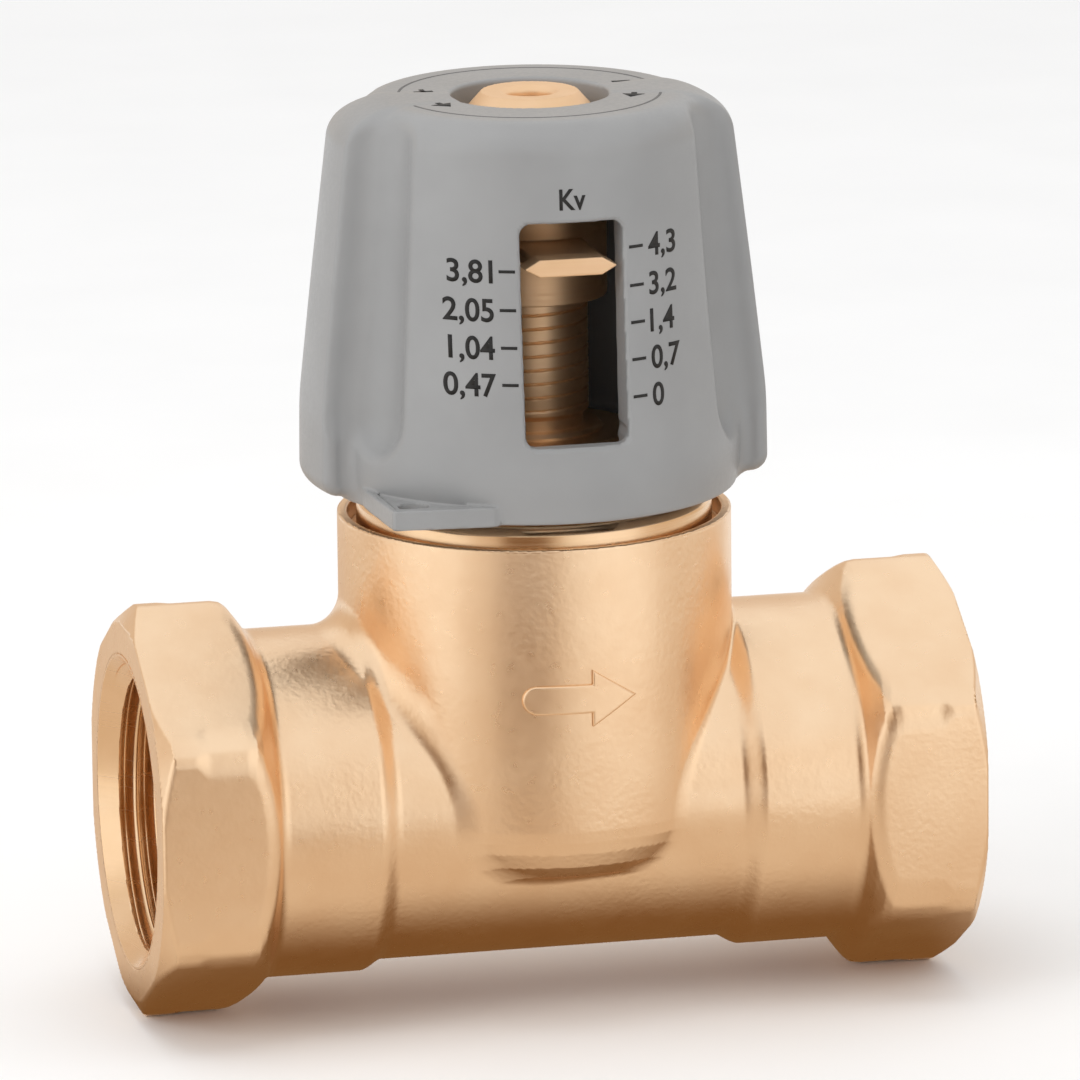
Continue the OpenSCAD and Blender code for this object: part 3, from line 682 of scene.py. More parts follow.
def turned_object(name, outline, segments, radius=None):
    """Closed ring of an outline turned round the stem axis; radius may change a point's radius."""
    r = np.array([p[0] for p in outline])
    z = np.array([p[1] for p in outline])
    theta = np.arange(segments) * 2 * math.pi / segments
    rr = np.repeat(r[None, :], segments, 0)
    zz = np.repeat(z[None, :], segments, 0)
    tt = np.repeat(theta[:, None], len(r), 1)
    if radius:
        rr = radius(rr, zz, tt)
    verts = np.stack([rr * np.cos(tt), rr * np.sin(tt), zz], -1).reshape(-1, 3)
    n = len(r)
    i, j = np.meshgrid(np.arange(segments), np.arange(n), indexing="ij")
    i2, j2 = (i + 1) % segments, (j + 1) % n
    faces = np.stack([i * n + j, i2 * n + j, i2 * n + j2, i * n + j2], -1).reshape(-1, 4)
    obj = new_object(name, verts, faces)
    obj.data.shade_smooth()
    obj.data.set_sharp_from_angle(angle=math.radians(SHARP_ANGLE))
    return obj


def neck_radius(r, z, theta):
    """Screw groove round the neck."""
    within = (z > NECK_Z + NECK_FOOT_H) & (z < NECK_TOP - NECK_CHAMFER)
    on_neck = (np.abs(r - NECK_R) < 0.5 * SKIN) & within
    turns = z / NECK_PITCH - theta / (2 * math.pi)
    groove = groove_wave(turns, NECK_GROOVE_W, NECK_GROOVE_H, NECK_PITCH)
    fade = step_up(z, NECK_Z + NECK_FADE_START, NECK_Z + NECK_FADE_END)
    return np.where(on_neck, r - groove * fade, r)


BONNET_BORE_R = 5.0
BONNET_FOOT_H = 0.6
BONNET_FOOT_R = 13.8
BONNET_THREAD_R = 14.4
RELIEF_Z = 22.44
RELIEF_R = 13.04
FLANGE_ROUND = 0.7
FLANGE_ARC = (0.12, 0.45)
SPIGOT_SHOULDER_R = 13.6
SPIGOT_SHOULDER_Z = 27.8
SPIGOT_R = 12.0
SPIGOT_TOP = 31.9
HUB_CURVE = [(9.4, 31.9), (9.0, 32.3), (9.0, 32.7), (8.8, 32.9), (6.2, 32.9), (6.2, 33.1)]
NECK_FOOT_R = 5.9
NECK_ROOT_R = 4.5
NECK_ROOT_H = 0.9
STEM_HOLE_FOOT = 26.0


def make_bonnet():
    """Bonnet with its flange, spigot and screwed neck, turned round the stem axis."""
    foot = SOCKET_FOOT + BONNET_FOOT_H
    low = [
        (BONNET_BORE_R, foot), (BONNET_FOOT_R, foot), (BONNET_THREAD_R, foot + BONNET_FOOT_H),
        (BONNET_THREAD_R, RELIEF_Z), (RELIEF_R, RELIEF_Z), (RELIEF_R, RECESS_Z), (FLANGE_R, RECESS_Z)
    ]
    near, far = FLANGE_ARC
    flange = [
        (FLANGE_R, FLANGE_TOP - FLANGE_ROUND), (FLANGE_R - near, FLANGE_TOP - far),
        (FLANGE_R - far, FLANGE_TOP - near), (FLANGE_R - FLANGE_ROUND, FLANGE_TOP)
    ]
    spigot = [
        (SPIGOT_SHOULDER_R, FLANGE_TOP), (SPIGOT_SHOULDER_R, SPIGOT_SHOULDER_Z),
        (SPIGOT_R, SPIGOT_SHOULDER_Z), (SPIGOT_R, SPIGOT_TOP)
    ]
    root = [
        (NECK_FOOT_R, NECK_Z), (NECK_ROOT_R, NECK_Z), (NECK_ROOT_R, NECK_Z + NECK_ROOT_H),
        (NECK_R, NECK_Z + NECK_FOOT_H)
    ]
    head = flange + spigot + HUB_CURVE + root
    neck = dense([(NECK_R, NECK_Z + NECK_FOOT_H), (NECK_R, NECK_TOP - NECK_CHAMFER)], NECK_ROW)
    neck = neck[:len(neck) // 2]
    top = [(NECK_R, NECK_TOP - NECK_CHAMFER), (NECK_ROOT_R, NECK_TOP), (STEM_HOLE_R, NECK_TOP)]
    top += [(STEM_HOLE_R, STEM_HOLE_FOOT), (NECK_R, STEM_HOLE_FOOT)]
    obj = turned_object("bonnet_visual", low + head + neck[1:] + top, BONNET_SEGMENTS, neck_radius)
    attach(obj, "valve")
    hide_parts("bonnet")
    return obj


def nut_field(x, y, z):
    """Cap nut with its pointer, bore and the dish in its top."""
    rz = np.hypot(x, y)
    nut = outline_field(rz, z, [
        (INSIDE, NUT_Z), (NUT_R, NUT_Z), (NUT_R, NUT_TOP - NUT_CHAMFER_H), (NUT_TOP_R, NUT_TOP),
        (INSIDE, NUT_TOP)
    ])
    nut = round_max(nut, rz - NUT_R, NUT_EDGE_R)
    nut = round_max(nut, NUT_Z - z, NUT_EDGE_R)
    low, high = POINTER_Z - POINTER_HALF_H, POINTER_Z + POINTER_HALF_H
    bar = outline_field(x, z, [
        (-POINTER_HALF_L, POINTER_Z), (-POINTER_BODY_HALF_L, low), (POINTER_BODY_HALF_L, low),
        (POINTER_HALF_L, POINTER_Z), (POINTER_BODY_HALF_L, high), (-POINTER_BODY_HALF_L, high)
    ])
    bar = round_max(bar, np.maximum(-POINTER_FRONT - y, y + POINTER_BACK), 0.6 * NUT_EDGE_R)
    reach = np.maximum(-POINTER_WEB_FRONT - y, y + POINTER_WEB_BACK)
    web = np.maximum(np.abs(x) - POINTER_WEB_HALF_W, reach)
    web = np.maximum(web, np.abs(z - POINTER_Z) - POINTER_WEB_HALF_H)
    solid = round_min(nut, np.minimum(bar, web), NUT_EDGE_R)
    solid = cut(solid, np.maximum(rz - NUT_BORE_R, z - NUT_BORE_TOP), NUT_INNER_EDGE_R)
    solid = cut(solid, rz - NUT_EYE_R, 0.25 * NUT_EDGE_R)
    dish = np.hypot(rz * DISH_SHARE, z - NUT_TOP - DISH_LIFT) - DISH_R
    return cut(solid, dish, NUT_INNER_EDGE_R)


NUT_BOX = ((-7.2, -16.0, 44.7), (7.2, 7.2, 63.7))
NUT_STEP = 0.16
NUT_KEEP_SHARE = 0.4


def make_nut():
    """Indicator nut in place of its plain solid."""
    obj = field_object("indicator_nut_visual", nut_field, *NUT_BOX, NUT_STEP, NUT_KEEP_SHARE)
    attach(obj, "spindle")
    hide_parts("indicator_nut")
    return obj


# Print on the knob

FRONT_ROUNDS = 4


def knob_front(x, z):
    """Depth of the knob's front where x and z are given."""
    y = -np.sqrt(np.maximum(np.interp(z, *KNOB_SIDE) ** 2 - x ** 2, 1))
    for _ in range(FRONT_ROUNDS):
        y = y + knob_field(x, y, z)
    return y


INK_ABOVE = 0.03
INK_BELOW = 0.05
TEXT_BOLDNESS = 0.016
TEXT_ROUNDNESS = 6
TEXT_WIDTH_SHARE = 0.86
DIGIT_H = 2.0
UNIT_H = 1.8
UNIT_Z = 55.85
MARK_INNER = 5.15
MARK_OUTER = 6.5
MARK_T = 0.26
MARK_POINTS = 6
LEFT_TEXT_X = -7.0
RIGHT_TEXT_X = 7.05
LEFT_SCALE = {50.5: "3,81", 47.1: "2,05", 43.8: "1,04", 40.55: "0,47"}
RIGHT_SCALE = {52.1: "4,3", 48.7: "3,2", 45.45: "1,4", 42.2: "0,7", 38.94: "0"}


def flat_print(name, shapes, place):
    """Thin raised ink from outlines made as flat meshes; place maps them to the surface and out of it."""
    verts, faces = [], []
    for v, f in shapes:
        base = len(verts)
        n = len(v)
        verts += [place(p[0], p[1], INK_ABOVE) for p in v] + [place(p[0], p[1], -INK_BELOW) for p in v]
        faces += [[base + i for i in q] for q in f]
        faces += [[base + n + i for i in reversed(q)] for q in f]
        sides = {}
        for q in f:
            for a, b in zip(q, list(q[1:]) + [q[0]]):
                if (b, a) in sides:
                    del sides[(b, a)]
                else:
                    sides[(a, b)] = True
        faces += [[base + a, base + n + a, base + n + b, base + b] for a, b in sides]
    return new_object(name, verts, faces)


def text_shape(words, height, x, z, align):
    """Outline of a text as a flat mesh, with its left, middle or right end at x."""
    curve = bpy.data.curves.new("words", "FONT")
    curve.body = words
    curve.size = 1
    curve.resolution_u = TEXT_ROUNDNESS
    curve.offset = TEXT_BOLDNESS
    holder = bpy.data.objects.new("words", curve)
    bpy.context.scene.collection.objects.link(holder)
    bpy.context.view_layer.update()
    mesh = bpy.data.meshes.new_from_object(holder.evaluated_get(bpy.context.evaluated_depsgraph_get()))
    v = np.array([p.co[:2] for p in mesh.vertices])
    faces = [list(p.vertices) for p in mesh.polygons]
    bpy.data.objects.remove(holder)
    bpy.data.curves.remove(curve)
    bpy.data.meshes.remove(mesh)
    v = v * (height / v[:, 1].max())
    v[:, 0] *= TEXT_WIDTH_SHARE
    width = v[:, 0].max() - v[:, 0].min()
    start = {"left": x, "middle": x - width / 2, "right": x - width}[align]
    v[:, 0] += start - v[:, 0].min()
    v[:, 1] += z
    return v, faces


def strip_faces(n):
    """Faces of a strip between two rows of n points."""
    return [[i, i + 1, n + i + 1, n + i] for i in range(n - 1)]


def bar_shape(x0, x1, z, thick):
    """Short level bar of the scale."""
    xs = np.linspace(x0, x1, MARK_POINTS)
    v = np.array([(a, z - thick / 2) for a in xs] + [(a, z + thick / 2) for a in xs])
    return v, strip_faces(MARK_POINTS)


def make_scale():
    """Flow scale printed on both sides of the window."""
    shapes = []
    for z, words in LEFT_SCALE.items():
        shapes.append(text_shape(words, DIGIT_H, LEFT_TEXT_X, z - DIGIT_H / 2, "right"))
        shapes.append(bar_shape(-MARK_OUTER, -MARK_INNER, z, MARK_T))
    for z, words in RIGHT_SCALE.items():
        shapes.append(text_shape(words, DIGIT_H, RIGHT_TEXT_X, z - DIGIT_H / 2, "left"))
        shapes.append(bar_shape(MARK_INNER, MARK_OUTER, z, MARK_T))
    shapes.append(text_shape("Kv", UNIT_H, 0.0, UNIT_Z, "middle"))

    def place(x, z, lift):
        y = knob_front(np.array([x]), np.array([z]))[0]
        return (x, y - lift, z)

    obj = flat_print("knob_scale_print", shapes, place)
    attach(obj, "handwheel")
    return obj


RING_INNER_R = 11.5
RING_OUTER_R = 11.74
TURN_MARK_R = 9.3
SIGN_X = 9.0
SIGN_Y = 2.8
SIGN_L = 1.7
SIGN_H = 2.2
SIGN_T = 0.6
SIGN_UPRIGHT_T = 0.45
ARC_T = 0.5
ARC_POINTS = 14
LEFT_ARC = (176, 200)
RIGHT_ARC = (-20, 4)
TIP_ANGLE = 9
TIP_HALF_W = 1.0
TOP_INK_SHARE = 0.7
RING_ROW = 0.1
RING_SEGMENTS = 192


def make_top_ring():
    """Fine dark line round the knob's flat top, painted shade of its engraved ring groove."""
    low, high = KNOB_TOP - SKIN, KNOB_TOP + SKIN
    section = [(RING_INNER_R, low), (RING_OUTER_R, low), (RING_OUTER_R, high), (RING_INNER_R, high)]
    obj = turned_object("knob_top_ring", dense(section, RING_ROW), RING_SEGMENTS)
    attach(obj, "handwheel")
    return obj


def make_turn_marks():
    """Plus and minus with their turning arrows on the knob's top."""
    shapes = []

    def polar(radius, degrees):
        a = math.radians(degrees)
        return radius * math.cos(a), radius * math.sin(a)

    def arc_bar(radius, a0, a1, thick):
        angles = np.linspace(a0, a1, ARC_POINTS)
        inner = [polar(radius - thick / 2, a) for a in angles]
        outer = [polar(radius + thick / 2, a) for a in angles]
        v = np.array(inner + outer)
        return v, strip_faces(ARC_POINTS)

    def arrow_tip(radius, angle, way):
        tip = polar(radius, angle + way * TIP_ANGLE)
        v = np.array([polar(radius - TIP_HALF_W, angle), polar(radius + TIP_HALF_W, angle), tip])
        return v, [[0, 1, 2]] if way < 0 else [[0, 2, 1]]

    def bar(cx, cy, w, h):
        left, right = cx - w / 2, cx + w / 2
        low, high = cy - h / 2, cy + h / 2
        v = np.array([(left, low), (right, low), (right, high), (left, high)])
        return v, [[0, 1, 2, 3]]

    shapes.append(arc_bar(TURN_MARK_R, *LEFT_ARC, ARC_T))
    shapes.append(arrow_tip(TURN_MARK_R, LEFT_ARC[1], 1))
    shapes.append(bar(-SIGN_X, SIGN_Y, SIGN_L, SIGN_T))
    shapes.append(bar(-SIGN_X, SIGN_Y, SIGN_UPRIGHT_T, SIGN_H))
    shapes.append(arc_bar(TURN_MARK_R, *RIGHT_ARC, ARC_T))
    shapes.append(arrow_tip(TURN_MARK_R, RIGHT_ARC[0], -1))
    shapes.append(bar(SIGN_X, SIGN_Y, SIGN_L, SIGN_T))

    def place(x, y, lift):
        return (x, y, KNOB_TOP + lift * TOP_INK_SHARE)

    obj = flat_print("knob_turn_marks", shapes, place)
    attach(obj, "handwheel")
    return obj


# Materials

# heights in the looks are in metres over the floor
RING_LINES_SCALE = (60, 60, 4200)
ROUGH_FROM = 0.050
ROUGH_FULL = 0.053


def grey(level):
    """Colour of one grey level."""
    return (level,) * 3


def new_material(name):
    """New material with its node tree and its main shader."""
    mat = bpy.data.materials.new(name)
    mat.use_nodes = True
    tree = mat.node_tree
    shader = next(n for n in tree.nodes if n.type == "BSDF_PRINCIPLED")
    return mat, tree, shader


def add_node(tree, kind, **values):
    """New node, with values for its inputs or its settings."""
    node = tree.nodes.new(kind)
    for key, value in values.items():
        if key in node.inputs:
            node.inputs[key].default_value = value
        else:
            setattr(node, key, value)
    return node


def position(tree):
    """Place on the object, in metres."""
    return add_node(tree, "ShaderNodeTexCoord").outputs["Object"]


def noise(tree, where, scale, detail=2.0, rough=0.5):
    """Grey noise; scale counts its features in a metre."""
    node = add_node(tree, "ShaderNodeTexNoise", Scale=scale, Detail=detail, Roughness=rough)
    tree.links.new(where, node.inputs["Vector"])
    return node.outputs["Fac"]


def ramp(tree, value, stops):
    """Colour read from value by the stops."""
    node = add_node(tree, "ShaderNodeValToRGB")
    tree.links.new(value, node.inputs["Fac"])
    ends = node.color_ramp.elements
    for k, (at, colour) in enumerate(stops):
        spot = ends[k] if k < 2 else ends.new(at)
        spot.position = at
        spot.color = (*colour, 1)
    return node.outputs["Color"]


def math_node(tree, operation, a, b):
    """Result of an operation on two sockets or numbers."""
    node = add_node(tree, "ShaderNodeMath", operation=operation)
    for socket, value in zip(node.inputs, (a, b)):
        if isinstance(value, (int, float)):
            socket.default_value = value
        else:
            tree.links.new(value, socket)
    return node.outputs[0]


def rise(tree, value, low, high):
    """0 where value is at low and 1 where it is at high, and between them in between."""
    node = add_node(tree, "ShaderNodeMapRange")
    node.interpolation_type = "SMOOTHSTEP"
    tree.links.new(value, node.inputs["Value"])
    node.inputs["From Min"].default_value = low
    node.inputs["From Max"].default_value = high
    return node.outputs["Result"]


def bump(tree, height, strength, distance):
    """Normal of a fine relief; distance is its height in metres."""
    node = add_node(tree, "ShaderNodeBump", Strength=strength, Distance=distance)
    tree.links.new(height, node.inputs["Height"])
    return node.outputs["Normal"]


def forged_brass():
    """Blasted brass with a fine orange peel that comes and goes."""
    mat, tree, shader = new_material("forged brass")
    where = position(tree)
    shader.inputs["Metallic"].default_value = 1.0
    cloud = noise(tree, where, scale=160, detail=3)
    tint = ramp(tree, cloud, [(0.3, (0.89, 0.63, 0.405)), (0.7, (0.95, 0.705, 0.475))])
    tree.links.new(tint, shader.inputs["Base Color"])
    grain = noise(tree, where, scale=900)
    rough = ramp(tree, grain, [(0.3, grey(0.27)), (0.75, grey(0.33))])
    tree.links.new(rough, shader.inputs["Roughness"])
    peel = noise(tree, where, scale=1900, detail=1, rough=0.4)
    patches = noise(tree, where, scale=90, detail=1)
    area = ramp(tree, patches, [(0.35, grey(0.25)), (0.65, grey(1.0))])
    height = math_node(tree, "MULTIPLY", peel, area)
    tree.links.new(bump(tree, height, strength=0.5, distance=0.00006), shader.inputs["Normal"])
    return mat


def turned_brass(name, rough_low, rough_high, rough_added):
    """Machined brass with fine rings, rougher by rough_added above ROUGH_FROM."""
    mat, tree, shader = new_material(name)
    where = position(tree)
    shader.inputs["Metallic"].default_value = 1.0
    cloud = noise(tree, where, scale=240)
    tint = ramp(tree, cloud, [(0.3, (0.87, 0.61, 0.375)), (0.7, (0.92, 0.66, 0.43))])
    tree.links.new(tint, shader.inputs["Base Color"])
    stretch = add_node(tree, "ShaderNodeMapping")
    stretch.inputs["Scale"].default_value = RING_LINES_SCALE
    tree.links.new(where, stretch.inputs["Vector"])
    lines = noise(tree, stretch.outputs["Vector"], scale=1)
    rough = ramp(tree, lines, [(0.3, grey(rough_low)), (0.8, grey(rough_high))])
    height = add_node(tree, "ShaderNodeSeparateXYZ")
    tree.links.new(where, height.inputs[0])
    high = math_node(tree, "MULTIPLY", rise(tree, height.outputs[2], ROUGH_FROM, ROUGH_FULL), rough_added)
    tree.links.new(math_node(tree, "ADD", rough, high), shader.inputs["Roughness"])
    tree.links.new(bump(tree, lines, strength=0.12, distance=0.00002), shader.inputs["Normal"])
    return mat


def plastic(name, dark, light, rough_low, rough_high, grain_scale, strength):
    """Moulded plastic, rubber or ink with a fine grain."""
    mat, tree, shader = new_material(name)
    where = position(tree)
    tint = ramp(tree, noise(tree, where, scale=120, detail=3), [(0.3, dark), (0.7, light)])
    tree.links.new(tint, shader.inputs["Base Color"])
    grain = noise(tree, where, grain_scale)
    rough = ramp(tree, grain, [(0.3, grey(rough_low)), (0.7, grey(rough_high))])
    tree.links.new(rough, shader.inputs["Roughness"])
    tree.links.new(bump(tree, grain, strength, distance=0.00003), shader.inputs["Normal"])
    return mat


def spring_steel():
    """Hardened wire steel."""
    mat, tree, shader = new_material("spring steel")
    where = position(tree)
    shader.inputs["Metallic"].default_value = 1.0
    cloud = noise(tree, where, scale=300)
    tint = ramp(tree, cloud, [(0.3, (0.42, 0.43, 0.45)), (0.7, (0.55, 0.56, 0.58))])
    tree.links.new(tint, shader.inputs["Base Color"])
    rough = ramp(tree, noise(tree, where, scale=1500), [(0.3, grey(0.22)), (0.7, grey(0.36))])
    tree.links.new(rough, shader.inputs["Roughness"])
    return mat


def paint(obj, mat):
    """Gives the object one material."""
    obj.data.materials.clear()
    obj.data.materials.append(mat)


# Studio

def card(name, verts, faces, emission):
    """Glowing reflector card that only mirror reflections see, for painted reflections; emission gives its
    colour and how solid it is.
    """
    mesh = bpy.data.meshes.new(name)
    mesh.from_pydata(verts, [], faces)
    obj = bpy.data.objects.new(name, mesh)
    bpy.context.scene.collection.objects.link(obj)
    mat = bpy.data.materials.new(name)
    mat.use_nodes = True
    tree = mat.node_tree
    tree.nodes.clear()
    out = add_node(tree, "ShaderNodeOutputMaterial")
    glow = add_node(tree, "ShaderNodeEmission")
    clear = add_node(tree, "ShaderNodeBsdfTransparent")
    mix = add_node(tree, "ShaderNodeMixShader")
    colour, cover = emission(tree)
    tree.links.new(colour, glow.inputs["Color"])
    tree.links.new(cover, mix.inputs["Fac"])
    tree.links.new(clear.outputs[0], mix.inputs[1])
    tree.links.new(glow.outputs[0], mix.inputs[2])
    tree.links.new(mix.outputs[0], out.inputs["Surface"])
    obj.data.materials.append(mat)
    obj.visible_camera = False
    obj.visible_diffuse = False
    obj.visible_shadow = False
    obj.visible_transmission = False
    return obj


# Colours for the painted reflections on the glowing cards: white and tan as reflected surroundings, a glow
# above 1 as painted highlights, and dark brown as painted dark reflection and painted shade under the
# object.
WHITE = (1.0, 0.98, 0.95)
PAINTED_HIGHLIGHT_GLOW = (1.15, 1.12, 1.08)
TAN = (0.74, 0.62, 0.5)
PAINTED_DARK_REFLECTION = (0.2, 0.1, 0.035)

# studio and camera sizes are in metres, and camera angles in degrees
UNDER_HALF_L = 0.028
CARD_R = 0.8
CARD_TOP = 0.65
FLOOR_CARD_HALF = 0.26
FLOOR_CARD_LIFT = 0.0004
FLOOR_R = 3.0
FLOOR_SEGMENTS = 64
CARD_SEGMENTS = 96
CARD_FADE_IN = (0.0, 0.05)
CARD_FADE_OUT = (0.62, 0.3)
BROWN_TO_TAN = (0.008, 0.024)
TAN_TO_COMPASS = (0.085, 0.13)
FLOOR_CARD_FADE = (0.25, 0.2)
WORLD_LIGHT = 0.85
WORLD_SEEN_ADDED = 0.15
LAMP_AIM = (0.0, 0.0, 0.03)


def at(degrees):
    """Place of a compass angle on the studio's colour ramp."""
    return degrees / 360 + 0.5


# Painted reflection round the object by compass angle, with painted highlights on both sides and a painted
# dark band just left of the front.
PAINTED_REFLECTION_COMPASS = [
    (at(-180), TAN), (at(-112), TAN), (at(-96), PAINTED_HIGHLIGHT_GLOW), (at(-60), PAINTED_HIGHLIGHT_GLOW), (at(-48), TAN),
    (at(-38), TAN), (at(-30), PAINTED_DARK_REFLECTION), (at(-6), PAINTED_DARK_REFLECTION), (at(3), TAN), (at(9), WHITE),
    (at(24), PAINTED_HIGHLIGHT_GLOW), (at(50), PAINTED_HIGHLIGHT_GLOW), (at(64), TAN), (at(120), TAN), (at(135), WHITE),
    (at(150), WHITE), (at(165), TAN), (at(180), TAN)
]


def place_parts(tree):
    """Sockets of the x, y and z of a place, in metres."""
    split = add_node(tree, "ShaderNodeSeparateXYZ")
    tree.links.new(position(tree), split.inputs[0])
    return split.outputs


def compass_colour(tree, x, y):
    """Painted reflection colour by compass angle, from the front through the right, back and left side."""
    angle = math_node(tree, "ARCTAN2", x, math_node(tree, "MULTIPLY", y, -1.0))
    return ramp(tree, math_node(tree, "ADD", math_node(tree, "DIVIDE", angle, 2 * math.pi), 0.5), PAINTED_REFLECTION_COMPASS)


def blend(tree, share, first, second):
    """Colour going from the value first to the socket second."""
    mix = add_node(tree, "ShaderNodeMix", data_type="RGBA")
    tree.links.new(share, mix.inputs["Factor"])
    colours = [s for s in mix.inputs if s.type == "RGBA"]
    colours[0].default_value = (*first, 1)
    tree.links.new(second, colours[1])
    return [s for s in mix.outputs if s.type == "RGBA"][0]


def ring_emission(tree):
    """The painted reflection colours by compass angle, fading out towards the floor and the top."""
    x, y, z = place_parts(tree)
    cover = math_node(tree, "MULTIPLY", rise(tree, z, *CARD_FADE_IN), rise(tree, z, *CARD_FADE_OUT))
    return compass_colour(tree, x, y), cover


def level_distance(tree, a, b):
    """Square root of a squared plus b squared."""
    squares = math_node(tree, "ADD", math_node(tree, "MULTIPLY", a, a), math_node(tree, "MULTIPLY", b, b))
    return math_node(tree, "SQRT", squares, 0.0)


def floor_emission(tree):
    """Painted shade under the object as a dark reflection, the painted reflection colours round it, and
    clear further out.
    """
    x, y, _ = place_parts(tree)
    off_middle = math_node(tree, "ABSOLUTE", x, 0.0)
    beside = math_node(tree, "MAXIMUM", math_node(tree, "SUBTRACT", off_middle, UNDER_HALF_L), 0.0)
    near = level_distance(tree, beside, y)
    far = level_distance(tree, x, y)
    around = blend(tree, rise(tree, far, *TAN_TO_COMPASS), TAN, compass_colour(tree, x, y))
    colour = blend(tree, rise(tree, near, *BROWN_TO_TAN), PAINTED_DARK_REFLECTION, around)
    return colour, rise(tree, far, *FLOOR_CARD_FADE)


def make_studio():
    """White world and floor, glowing reflector cards with painted reflections and painted shade, and two
    soft lamps.
    """
    world = bpy.data.worlds.new("studio")
    bpy.context.scene.world = world
    world.use_nodes = True
    tree = world.node_tree
    back = next(n for n in tree.nodes if n.type == "BACKGROUND")
    back.inputs["Color"].default_value = (1, 1, 1, 1)
    path = add_node(tree, "ShaderNodeLightPath")
    seen = math_node(tree, "MAXIMUM", path.outputs["Is Camera Ray"], path.outputs["Is Glossy Ray"])
    seen = math_node(tree, "MAXIMUM", seen, path.outputs["Is Transmission Ray"])
    strength = math_node(tree, "ADD", math_node(tree, "MULTIPLY", seen, WORLD_SEEN_ADDED), WORLD_LIGHT)
    tree.links.new(strength, back.inputs["Strength"])

    mesh = bpy.data.meshes.new("floor")
    turns = [2 * math.pi * i / FLOOR_SEGMENTS for i in range(FLOOR_SEGMENTS)]
    rim = [(FLOOR_R * math.cos(a), FLOOR_R * math.sin(a), 0) for a in turns]
    mesh.from_pydata(rim, [], [list(range(FLOOR_SEGMENTS))])
    floor = bpy.data.objects.new("floor", mesh)
    bpy.context.scene.collection.objects.link(floor)
    mat, ftree, shader = new_material("floor paper")
    grain = noise(ftree, position(ftree), scale=40, detail=3)
    tint = ramp(ftree, grain, [(0.3, grey(0.94)), (0.7, grey(0.96))])
    ftree.links.new(tint, shader.inputs["Base Color"])
    shader.inputs["Roughness"].default_value = 0.9
    shader.inputs["Specular IOR Level"].default_value = 0.1
    paint(floor, mat)

    # Ring of glowing cards round the object, seen only in reflections, with painted highlights and a
    # painted dark band.
    verts, faces = [], []
    for i in range(CARD_SEGMENTS):
        a = 2 * math.pi * i / CARD_SEGMENTS
        verts += [(CARD_R * math.cos(a), CARD_R * math.sin(a), z) for z in (0.0, CARD_TOP)]
        j = (i + 1) % CARD_SEGMENTS
        faces.append([2 * i, 2 * j, 2 * j + 1, 2 * i + 1])
    card("painted_reflection_ring", verts, faces, ring_emission)
    # Glowing floor card, seen only in reflections, with painted shade under the object and painted
    # reflection colours round it.
    s = FLOOR_CARD_HALF
    z = FLOOR_CARD_LIFT
    card("painted_shade_floor_card", [(-s, -s, z), (s, -s, z), (s, s, z), (-s, s, z)], [[0, 1, 2, 3]], floor_emission)

    add_lamp("lamp_top", place=(-0.1, -0.05, 0.75), size=(0.5, 0.4), power=1.0)
    add_lamp("lamp_left", place=(-0.7, -0.35, 0.45), size=(0.3, 0.4), power=1.5)


def add_lamp(name, place, size, power):
    """Soft lamp at place, aimed at the part, that no reflection shows."""
    light = bpy.data.lights.new(name, "AREA")
    light.shape = "RECTANGLE"
    light.size, light.size_y = size
    light.energy = power
    lamp = bpy.data.objects.new(name, light)
    bpy.context.scene.collection.objects.link(lamp)
    way = Vector(LAMP_AIM) - Vector(place)
    lamp.visible_glossy = False
    lamp.matrix_world = Matrix.Translation(place) @ way.to_track_quat("-Z", "Y").to_matrix().to_4x4()


CAMERA_TURN = 12.965
CAMERA_DIP = 13.353
CAMERA_ROLL = -0.617
CAMERA_LENS = 361.7
CAMERA_SENSOR = 36
CAMERA_PLACE = (-0.21118, -0.91955, 0.24642)


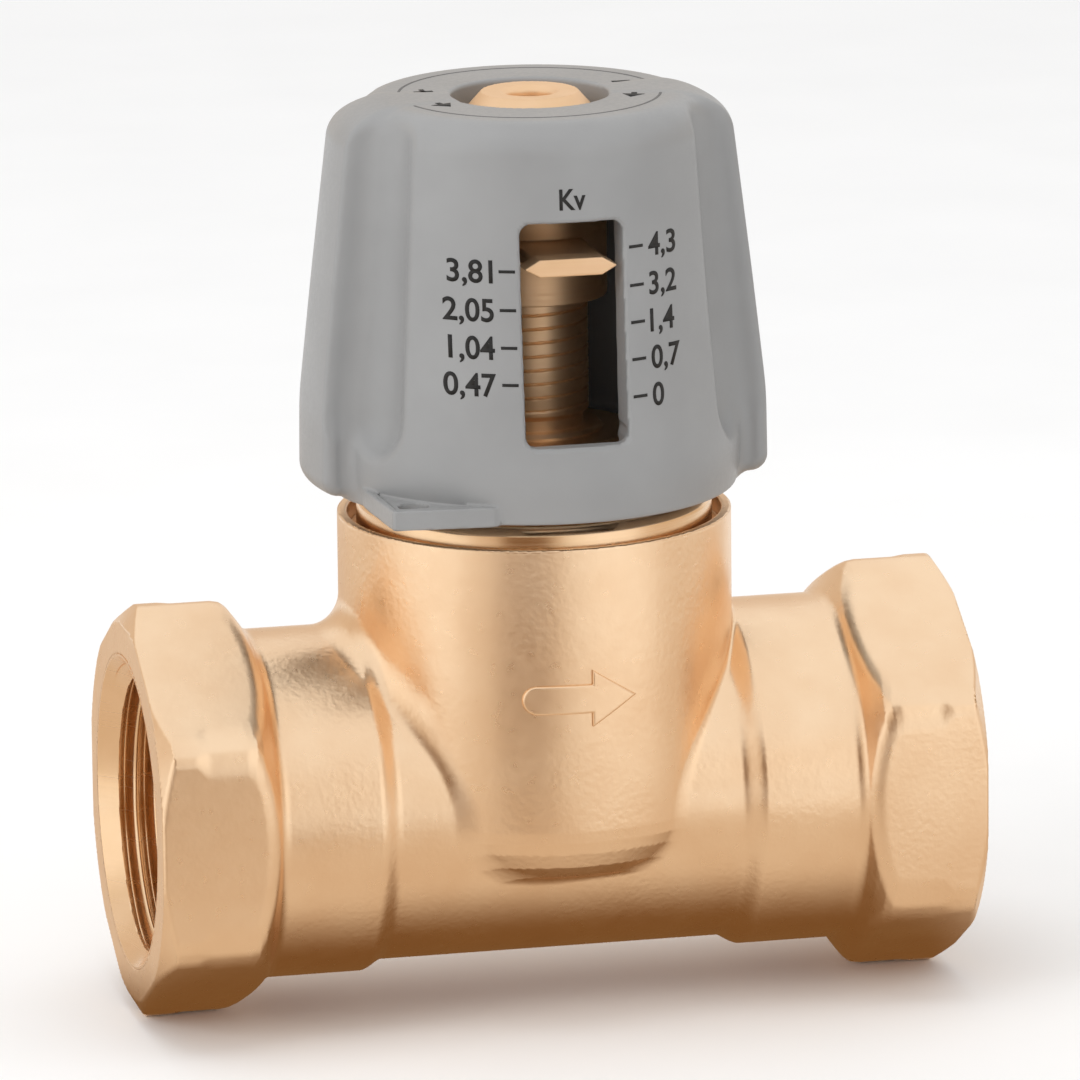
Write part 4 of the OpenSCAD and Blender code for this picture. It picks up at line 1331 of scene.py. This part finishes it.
def make_camera():
    """The photograph's viewpoint, in metres and degrees."""
    a, e, roll = (math.radians(d) for d in (CAMERA_TURN, CAMERA_DIP, CAMERA_ROLL))
    forward = Vector((math.sin(a) * math.cos(e), math.cos(a) * math.cos(e), -math.sin(e)))
    right = Vector((math.cos(a), -math.sin(a), 0))
    up = right.cross(forward)
    right2 = right * math.cos(roll) + up * math.sin(roll)
    up2 = up * math.cos(roll) - right * math.sin(roll)
    data = bpy.data.cameras.new("camera")
    data.sensor_width = CAMERA_SENSOR
    data.lens = CAMERA_LENS
    camera = bpy.data.objects.new("camera", data)
    bpy.context.scene.collection.objects.link(camera)
    spot = Vector(CAMERA_PLACE) + Vector((0, 0, AXIS_H * MM))
    turn = Matrix((right2, up2, -forward)).transposed().to_4x4()
    camera.matrix_world = Matrix.Translation(spot) @ turn
    bpy.context.scene.camera = camera
    bpy.context.scene.view_settings.view_transform = "Standard"


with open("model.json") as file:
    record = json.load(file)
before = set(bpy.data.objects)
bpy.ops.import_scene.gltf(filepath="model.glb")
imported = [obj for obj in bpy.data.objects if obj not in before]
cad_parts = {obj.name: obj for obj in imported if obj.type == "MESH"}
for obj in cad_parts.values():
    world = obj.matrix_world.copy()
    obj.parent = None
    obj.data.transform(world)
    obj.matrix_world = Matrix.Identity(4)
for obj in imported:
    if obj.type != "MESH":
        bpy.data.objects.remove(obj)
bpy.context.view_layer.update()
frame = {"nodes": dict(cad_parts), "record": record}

brass = forged_brass()
bright_brass = turned_brass("turned brass", rough_low=0.2, rough_high=0.3, rough_added=0.25)
satin_brass = turned_brass("satin turned brass", rough_low=0.5, rough_high=0.6, rough_added=0.0)
grey_plastic = plastic("grey plastic", grey(0.285), grey(0.315), 0.34, 0.44, 2600, 0.12)
# Dark grey standing in for the shade in the knob top's engraved ring groove: painted shade.
groove_shade_grey = plastic("painted groove shade grey", grey(0.1), grey(0.13), 0.45, 0.6, 2600, 0.1)
ink = plastic("black ink", grey(0.006), grey(0.012), 0.55, 0.7, 1800, 0.05)
rubber = plastic("black rubber", grey(0.012), grey(0.025), 0.5, 0.7, 1500, 0.2)
white = plastic("white plastic", (0.74, 0.72, 0.66), (0.8, 0.78, 0.72), 0.35, 0.5, 1500, 0.1)
steel = spring_steel()

LOOKS = {
    "forged_brass": brass, "turned_brass": bright_brass, "grey_plastic": grey_plastic,
    "black_rubber": rubber, "white_plastic": white, "spring_steel": steel,
}
for part in frame["record"]["subparts"]:
    paint(frame["nodes"][part["node"]], LOOKS[part["material_slot"]])

paint(make_body(), brass)
paint(make_arrow(), brass)
paint(make_port("inlet_thread", -1), bright_brass)
paint(make_port("outlet_thread", 1), bright_brass)
paint(make_knob(), grey_plastic)
paint(make_top_ring(), groove_shade_grey)
paint(make_bonnet(), bright_brass)
paint(make_nut(), satin_brass)
paint(make_scale(), ink)
paint(make_turn_marks(), ink)
make_studio()
make_camera()
